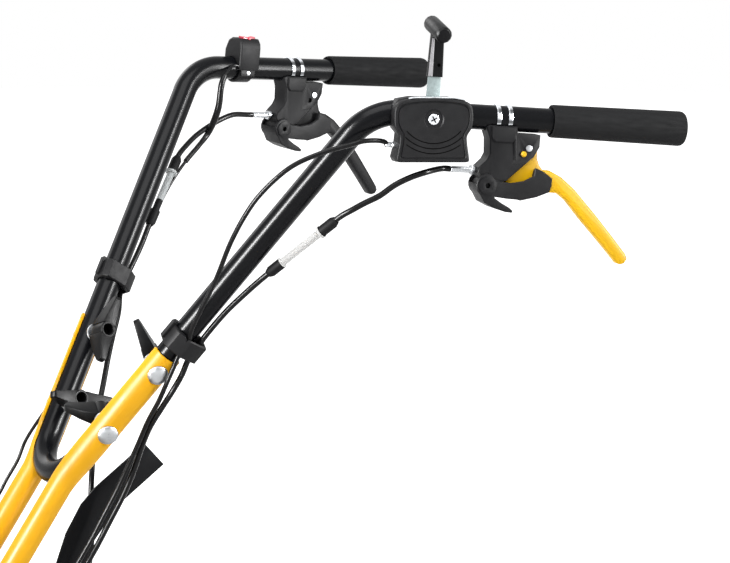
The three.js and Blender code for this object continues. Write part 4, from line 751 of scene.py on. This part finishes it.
# Shares of the way from the cover's outline to the panel's, then radii of the recess, each with its height
cover_steps = [
    (0, COVER_BACK), (0, 0.0252), (0.10, 0.0261), (0.28, COVER_RIM), (0.64, COVER_RIM), (0.72, 0.0262),
    (0.78, 0.0255), (0.92, 0.0255), (1, COVER_PANEL),
]
recess_steps = [(0.0102, COVER_PANEL), (0.0097, 0.0258), (0.0090, 0.0249), (0.0054, 0.0249)]
rings = [[(*point, z) for point in between(cover_outline, panel_outline, share)] for share, z in cover_steps]
rings += [[(*(point.normalized() * radius), z) for point in panel_outline] for radius, z in recess_steps]
case = throttle_frame()
cover = mesh_piece(
    "throttle_cover_shell", *stacked(rings), black_plastic, "machine", case, slot="black_plastic",
)
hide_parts("throttle_case_cover")


def arc_strip(radius, reach, width, centre, steps=20):
    """A thin strip along an arc that hangs below its centre."""
    start, end = -math.pi / 2 - reach, -math.pi / 2 + reach
    arcs = [[(x, centre + y) for x, y in wrapped(r, start, end, steps)] for r in (radius, radius + width)]
    return [*arcs[0], *reversed(arcs[1])]


# Grooves in the panel, drawn as thin near-black strips of painted shade on its face: radius and half angle of
# each
GROOVE_CENTRE, GROOVE_WIDTH = 0.0134, 0.0009
for i, (radius, reach) in enumerate(((0.0363, 48), (0.0414, 43), (0.0462, 36))):
    strip = arc_strip(radius, math.radians(reach), GROOVE_WIDTH, GROOVE_CENTRE)
    mesh_piece(
        f"painted_groove_shade_{i + 1}", *prism(strip, COVER_PANEL - 0.0002, COVER_PANEL + 0.00005), painted_recess_shade,
        "machine", case, slot="black_plastic",
    )

# Throttle: zinc edge over the case, cross in the pivot screw, ferrule, stem bevel and stem hole. The cross
# and the hole are near-black painted shade, and the bevel a pale painted highlight.
CASE_TOP, CASE_FLAT, CASE_FALL = 0.02129, 0.020, 0.0023 / 0.013


def case_top(x):
    """Height of the case over the pivot: flat in the middle, falling to both sides."""
    return CASE_TOP - CASE_FALL * max(0.0, abs(x) - CASE_FLAT)


def case_edge():
    """Vertices and faces of a thin zinc strip on top of the case, deepest at the blade."""
    start, end, steps = -0.0255, 0.0300, 14
    front, depth, wall = 0.0257, 0.0085, 0.0005
    vertices = []
    for i in range(steps + 1):
        x = start + (end - start) * i / steps
        back = front - depth * math.sin(math.pi * (0.04 + 0.92 * i / steps)) ** 0.5
        top = case_top(x) + wall
        vertices += [(x, top, front), (x, top, back), (x, top - 2 * wall, back), (x, top - 2 * wall, front)]
    faces = [
        (a + k, a + (k + 1) % 4, a + 4 + (k + 1) % 4, a + 4 + k)
        for a in range(0, 4 * steps, 4) for k in range(4)
    ]
    return vertices, [*faces, (0, 1, 2, 3), tuple(4 * steps + k for k in (3, 2, 1, 0))]


def cross(reach, half):
    """Outline of a cross with four equal arms."""
    return [
        (reach, half), (half, half), (half, reach), (-half, reach), (-half, half), (-reach, half),
        (-reach, -half), (-half, -half), (-half, -reach), (half, -reach), (half, -half), (reach, -half),
    ]


# The blade's lean at rest, the near-black cross of painted shade on the pivot screw's face, and the ferrule's
# place
LEAN = math.radians(-3)
CROSS_REACH, CROSS_HALF, CROSS_TURN = 0.0034, 0.0006, math.radians(28)
SCREW_FACE, CROSS_RISE = 0.02645, 0.0002
FERRULE_PLACE = -0.0335
blade = throttle_frame(LEAN)
mesh_piece("throttle_case_edge", *case_edge(), zinc, "machine", case, slot="zinc")
# Painted shade: a near-black cross over the screw's face for its recess
mesh_piece(
    "painted_screw_recess_shade", *prism(cross(CROSS_REACH, CROSS_HALF), SCREW_FACE, SCREW_FACE + CROSS_RISE),
    painted_recess_shade, "machine", case @ Matrix.Rotation(CROSS_TURN, 4, "Z"), slot="zinc",
)
ferrule_profile = [
    (0.00236, 0), (0.0033, 0), (0.0033, 0.004), (0.0027, 0.0046), (0.0027, 0.0105), (0.00236, 0.011),
    (0.00236, 0),
]
ferrule_frame = moved(FERRULE_PLACE, *CASE_EXIT[1:]) @ Matrix.Rotation(math.radians(-90), 4, "Y")
turned("throttle_cable_ferrule", ferrule_profile, zinc, "machine", case @ ferrule_frame, "zinc")

STEM_FACE = 0.0198
STEM_HOLE = (0.0026, 0.0525)
# Painted highlight: a pale strip on the stem's bevel where light catches it
bevel_outline = [(-0.0074, 0.0414), (-0.0030, 0.0414), (-0.0036, 0.0780), (-0.0060, 0.0780)]
mesh_piece(
    "throttle_stem_bevel", *prism(bevel_outline, STEM_FACE - 0.0001, STEM_FACE + 0.0004), painted_bevel_highlight,
    "throttle", blade, 0.0001, "black_plastic",
)


def flat_ring(inner, outer, height):
    """Profile of a washer, from z 0 to its height."""
    return [(inner, 0), (outer, 0), (outer, height), (inner, height), (inner, 0)]


# Ring and hole in the stem, the hole a near-black disc of painted shade: bore, radius, height and look
for name, inner, outer, rise, look in (
    ("ring", 0.0017, 0.0026, 0.0004, knob_plastic),
    ("hole", 0.0, 0.0017, 0.0002, painted_recess_shade),
):
    turned(
        f"throttle_stem_{name}", flat_ring(inner, outer, rise), look, "throttle",
        blade @ moved(*STEM_HOLE, STEM_FACE - 0.0001), "black_plastic",
    )

# Stop switch: pan-head screw in the lug of its strap
STRAP_SCREW = (0.0122, -0.0035, 0.0175)
pan_head = [(0, 0), (0.0024, 0), (0.0024, 0.0006), (0.0018, 0.0013), (0, 0.0016)]
turned("stop_strap_screw", pan_head, zinc, "machine", bar_frame(-1, SWITCH_SET) @ moved(*STRAP_SCREW), "zinc")

# Lever sets: pin through each latch, and the yellow stop seen in the left bracket's hole
LATCH_PIVOT = (0.0152, -0.0659, 0)
STOP_PLACE = (0.0511, -0.0335, 0)
pin_profile = [(0, -0.0125), (0.0026, -0.0125), (0.0026, 0.0120), (0.0020, 0.0125), (0, 0.0125)]
stop_profile = [(0, 0.0100), (0.0028, 0.0100), (0.0028, 0.0114), (0.0018, 0.0122), (0, 0.0124)]
for name, side in SIDES:
    place = bar_frame(side, LEVER_SET) @ moved(*LATCH_PIVOT)
    turned(f"latch_pin_{name}", pin_profile, black_gloss, f"latch_{name}", place, "black_tube")
stop_frame = bar_frame(1, LEVER_SET) @ moved(*STOP_PLACE)
turned("lever_stop_button", stop_profile, yellow_plastic, "machine", stop_frame, "yellow_plastic")

# Wing knobs with thick tapered wings, and their zinc washers
WING, HUB, HUB_HEIGHT = 0.036, 0.0088, 0.0272
HOLE, HOLE_FLOOR = 0.0058, 0.0150
WASHER, WASHER_WALL, WASHER_BORE = 0.0101, 0.0016, 0.0062
WING_THINNING = 0.0054
KNOB_TURNS = {("upper", 1): 30, ("upper", -1): 83, ("lower", 1): -32, ("lower", -1): -22}
# Outline of one wing, in shares of its length: outwards, and up from the washer
wing_side = [
    (0.17, 0.07), (0.26, 0.08), (0.62, 0.30), (0.97, 0.60), (1.02, 0.68), (1.02, 0.76), (0.97, 0.84),
    (0.88, 0.86), (0.34, 0.725), (0.17, 0.725),
]
hub_profile = [
    (0, -WASHER_WALL),
    (0.0080, -WASHER_WALL),
    (HUB, -0.010 - WASHER_WALL),
    (HUB, -HUB_HEIGHT + 0.0008),
    (HUB - 0.0008, -HUB_HEIGHT),
    (HOLE + 0.0005, -HUB_HEIGHT),
    (HOLE, -HUB_HEIGHT + 0.0005),
    (HOLE, -HOLE_FLOOR),
    (0, -HOLE_FLOOR),
]


def knob_mesh():
    """Vertices and faces of the hub and both wings, along -Z from the washer."""
    vertices, faces = lathe(hub_profile, 32)
    for way in (1, -1):
        first, count = len(vertices), len(wing_side)
        for face in (1, -1):
            for u, z in wing_side:
                half = HUB - 0.0004 - WING_THINNING * u
                vertices.append((way * u * WING, face * half, -WASHER_WALL * 0.6 - z * WING))
        sides = [(i, (i + 1) % count, (i + 1) % count + count, i + count) for i in range(count)]
        sides += [tuple(range(count)), tuple(range(2 * count - 1, count - 1, -1))]
        faces += [tuple(first + i for i in side) for side in sides]
    return vertices, faces


for height, down in BOLT_PLACES.items():
    for name, side in SIDES:
        seat = bolt_frame(side, down) @ moved(0, 0, -KNOB_FLOOR)
        turn = Matrix.Rotation(-side * math.radians(KNOB_TURNS[height, side]), 4, "Z")
        body = f"knob_{height}_{name}"
        knob = mesh_piece(
            f"wing_knob_body_{height}_{name}", *knob_mesh(), knob_plastic, body, seat @ turn, 0.0011,
            "black_plastic", 3,
        )
        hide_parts(f"wing_knob_{height}_{name}")
        washer = flat_ring(WASHER_BORE, WASHER, -WASHER_WALL)
        turned(f"knob_washer_{height}_{name}", washer, zinc, body, seat, "zinc", 32, 0.0002)

# Tape round the stop wire under its switch, thickest in its upper part
WRAP_START, WRAP_END = 14, 58
WRAP_RADIUS, WRAP_SWELL = 0.0029, 0.0009
stop_line = smooth_route([*cords["stop_wire"][0], *shifted(stop_wire_route)])
wrap = stop_line[WRAP_START:WRAP_END]


def wrap_radius(i):
    return WRAP_RADIUS + WRAP_SWELL * math.sin(math.pi * min(1, 1.25 * (i + 3) / len(wrap)))


mesh_piece("stop_wire_wrap", *tube_mesh(wrap, wrap_radius, 16), jacket, "machine", slot="cable_jacket")

# Ridge down the face of the left lever bracket, below its saddle
RIDGE_BACK, RIDGE_FRONT = 0.0112, 0.0128
ridge = [(0.0384, -0.0100), (0.0410, -0.0100), (0.0434, -0.0390), (0.0426, -0.0402), (0.0416, -0.0390)]
mesh_piece(
    "bracket_ridge_left", *prism(ridge, RIDGE_BACK, RIDGE_FRONT), black_plastic, "machine",
    bar_frame(1, LEVER_SET), 0.0005, "black_plastic",
)

# Tyres with tread blocks, in place of the plain packed ones. A block and its gap take BLOCK_STEPS steps.
BLOCK_STEPS, BLOCK_SHARE, BLOCK_SLANT = 8, 0.62, 2.5
CROWN_ROWS, CROWN_SHARE, CENTRE_GROOVE, SHOULDER_FALL = 14, 0.93, 0.07, 0.16
# Half widths at the bead and at the sidewall's bulge, and the bulge's height up the wall
BEAD_SHARE, BULGE_SHARE, BULGE_HEIGHT = 0.86, 0.99, 0.35


def crown_radius(radius, wall, depth, i, share):
    """Radius of the tread at one step round the tyre and one share of its half width."""
    stagger = 0 if share < 0 else BLOCK_STEPS // 2
    step = (i + stagger + round(BLOCK_SLANT * abs(share))) % BLOCK_STEPS
    in_block = step < BLOCK_STEPS * BLOCK_SHARE and abs(share) > CENTRE_GROOVE
    shoulder = SHOULDER_FALL * wall * abs(share) ** 6
    return radius - shoulder - (0 if in_block else depth)


def tread_mesh(radius, width, bead, lugs, depth):
    """Vertices and faces of a tyre about Y: staggered blocks on the crown, and sidewalls down to the bead."""
    wall = radius - bead
    crown = [2 * k / CROWN_ROWS - 1 for k in range(CROWN_ROWS + 1)]
    vertices, faces = [], []
    around = lugs * BLOCK_STEPS
    bulge = bead + BULGE_HEIGHT * wall
    for i in range(around):
        ring = [(bead, -BEAD_SHARE), (bulge, -BULGE_SHARE)]
        ring += [(crown_radius(radius, wall, depth, i, share), share * CROWN_SHARE) for share in crown]
        ring += [(bulge, BULGE_SHARE), (bead, BEAD_SHARE)]
        for r, share in ring:
            x, z = on_circle(r, 2 * math.pi * i / around)
            vertices.append((x, share * width / 2, z))
    count = len(ring)
    for i in range(around):
        a, b = i * count, (i + 1) % around * count
        faces += [(a + k, a + (k + 1) % count, b + (k + 1) % count, b + k) for k in range(count)]
    return vertices, faces


# Axles as places along X and Z, and the drive tyres' distance from the middle
REAR_AXLE, FRONT_AXLE, TYRE_TRACK = (-0.0137, 0.16359), (0.6263, 0.09877), 0.2175
for name, side in SIDES:
    tread = tread_mesh(radius=0.1634, width=0.0845, bead=0.0800, lugs=22, depth=0.0050)
    place = moved(REAR_AXLE[0], side * TYRE_TRACK, REAR_AXLE[1])
    rear = mesh_piece(f"tyre_tread_{name}", *tread, tyre, "drive_wheels", place, 0.0006, "tyre_rubber", 1)
    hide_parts(f"tyre_{name}")
tread = tread_mesh(radius=0.0986, width=0.0495, bead=0.0560, lugs=18, depth=0.0030)
place = moved(FRONT_AXLE[0], 0, FRONT_AXLE[1])
front = mesh_piece("tyre_tread_front", *tread, tyre, "front_wheel", place, 0.0004, "tyre_rubber", 1)
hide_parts("front_tyre")


# Floor: pale and shaded near the object, and white to the camera from about its own length away
FLOOR_RADIUS, FLOOR_SIDES, FLOOR_DROP = 9.0, 96, -0.0002
GLOW_NEAR, GLOW_FAR = 1.0, 1.65
GLOW_LOW, GLOW_HIGH = 0.3, 0.85


def math_node(tree, operation, first, second):
    """The result of an operation on two sockets."""
    node = tree.nodes.new("ShaderNodeMath")
    node.operation = operation
    tree.links.new(first, node.inputs[0])
    tree.links.new(second, node.inputs[1])
    return node.outputs[0]


def floor_material():
    material = bpy.data.materials.new("pale_floor")
    material.use_nodes = True
    tree = material.node_tree
    shader = tree.nodes["Principled BSDF"]
    shader.inputs["Base Color"].default_value = (0.86, 0.86, 0.86, 1)
    shader.inputs["Roughness"].default_value = 0.9
    shader.inputs["Specular IOR Level"].default_value = 0.0
    path, glow, add = (tree.nodes.new(f"ShaderNode{kind}") for kind in ("LightPath", "Emission", "AddShader"))
    seen = math_node(tree, "MAXIMUM", path.outputs["Is Camera Ray"], path.outputs["Is Glossy Ray"])
    spot = tree.nodes.new("ShaderNodeTexCoord")
    reach = tree.nodes.new("ShaderNodeVectorMath")
    reach.operation = "LENGTH"
    tree.links.new(spot.outputs["Object"], reach.inputs[0])
    level = tree.nodes.new("ShaderNodeMapRange")
    level.interpolation_type = "SMOOTHSTEP"
    limits = {"From Min": GLOW_NEAR, "From Max": GLOW_FAR, "To Min": GLOW_LOW, "To Max": GLOW_HIGH}
    for socket, value in limits.items():
        level.inputs[socket].default_value = value
    tree.links.new(reach.outputs["Value"], level.inputs["Value"])
    tree.links.new(math_node(tree, "MULTIPLY", seen, level.outputs["Result"]), glow.inputs["Strength"])
    tree.links.new(shader.outputs[0], add.inputs[0])
    tree.links.new(glow.outputs[0], add.inputs[1])
    tree.links.new(add.outputs[0], tree.nodes["Material Output"].inputs["Surface"])
    return material


edge = [(*on_circle(FLOOR_RADIUS, 2 * math.pi * i / FLOOR_SIDES), FLOOR_DROP) for i in range(FLOOR_SIDES)]
floor_mesh = bpy.data.meshes.new("floor")
floor_mesh.from_pydata(edge, [], [tuple(range(FLOOR_SIDES))])
floor = bpy.data.objects.new("floor", floor_mesh)
scene.collection.objects.link(floor)
floor.data.materials.append(floor_material())

# World: white to camera, glossy and transmission rays, softer as light
WORLD_LIGHT = 0.62
world = bpy.data.worlds.new("studio")
world.use_nodes = True
scene.world = world
tree = world.node_tree
path = tree.nodes.new("ShaderNodeLightPath")
seen = math_node(tree, "MAXIMUM", path.outputs["Is Camera Ray"], path.outputs["Is Glossy Ray"])
seen = math_node(tree, "MAXIMUM", seen, path.outputs["Is Transmission Ray"])
level = tree.nodes.new("ShaderNodeMapRange")
level.inputs["To Min"].default_value = WORLD_LIGHT
level.inputs["To Max"].default_value = 1.0
tree.links.new(seen, level.inputs["Value"])
tree.nodes["Background"].inputs["Color"].default_value = (1, 1, 1, 1)
tree.links.new(level.outputs["Result"], tree.nodes["Background"].inputs["Strength"])


def lamp(name, place, target, width, height, power, gloss_only=False):
    """An area lamp in watts that faces its target. One that is gloss_only shows in reflections alone."""
    light = bpy.data.lights.new(name, "AREA")
    light.shape = "RECTANGLE"
    light.size, light.size_y, light.energy = width, height, power
    obj = bpy.data.objects.new(name, light)
    obj.location = place
    obj.rotation_euler = (Vector(target) - Vector(place)).to_track_quat("-Z", "Y").to_euler()
    obj.visible_diffuse = not gloss_only
    scene.collection.objects.link(obj)


# Two tall strips give the streaks along the tubes, and the wide lamps the plain light
middle = Vector((-0.30, 0.0, 0.85))
lamp("top_soft", (0.3, 0.9, 3.4), (0.0, 0.0, 0.5), 2.2, 2.2, 95)
lamp("strip_left", (2.6, 0.80, 1.40), middle, 0.55, 2.2, 700, True)
lamp("strip_right", (-2.6, 2.1, 1.55), middle, 0.36, 2.0, 380, True)
lamp("back_soft", (0.4, -3.0, 2.4), (0.0, 0.0, 0.6), 2.4, 1.4, 30)

# Camera, solved from the photograph: its turn from straight across, its tilt, its place and its lens in mm
TURN, PITCH = math.radians(25.97), math.radians(10.21)
CAMERA_PLACE = Vector((0.8761629, 2.83612, 1.36554))
SENSOR, LENS = 36.0, 148.54
level_run = Vector((-math.sin(TURN), -math.cos(TURN), 0))
forward = level_run * math.cos(PITCH) - Vector((0, 0, math.sin(PITCH)))
right = Vector((-math.cos(TURN), math.sin(TURN), 0))
lens = bpy.data.cameras.new("camera")
lens.sensor_width = SENSOR
lens.sensor_fit = "HORIZONTAL"
lens.lens = LENS
lens.clip_end = 60.0
camera = bpy.data.objects.new("camera", lens)
camera.matrix_world = basis(CAMERA_PLACE, right, right.cross(forward), -forward)
scene.collection.objects.link(camera)
scene.camera = camera
scene.view_settings.view_transform = "Standard"
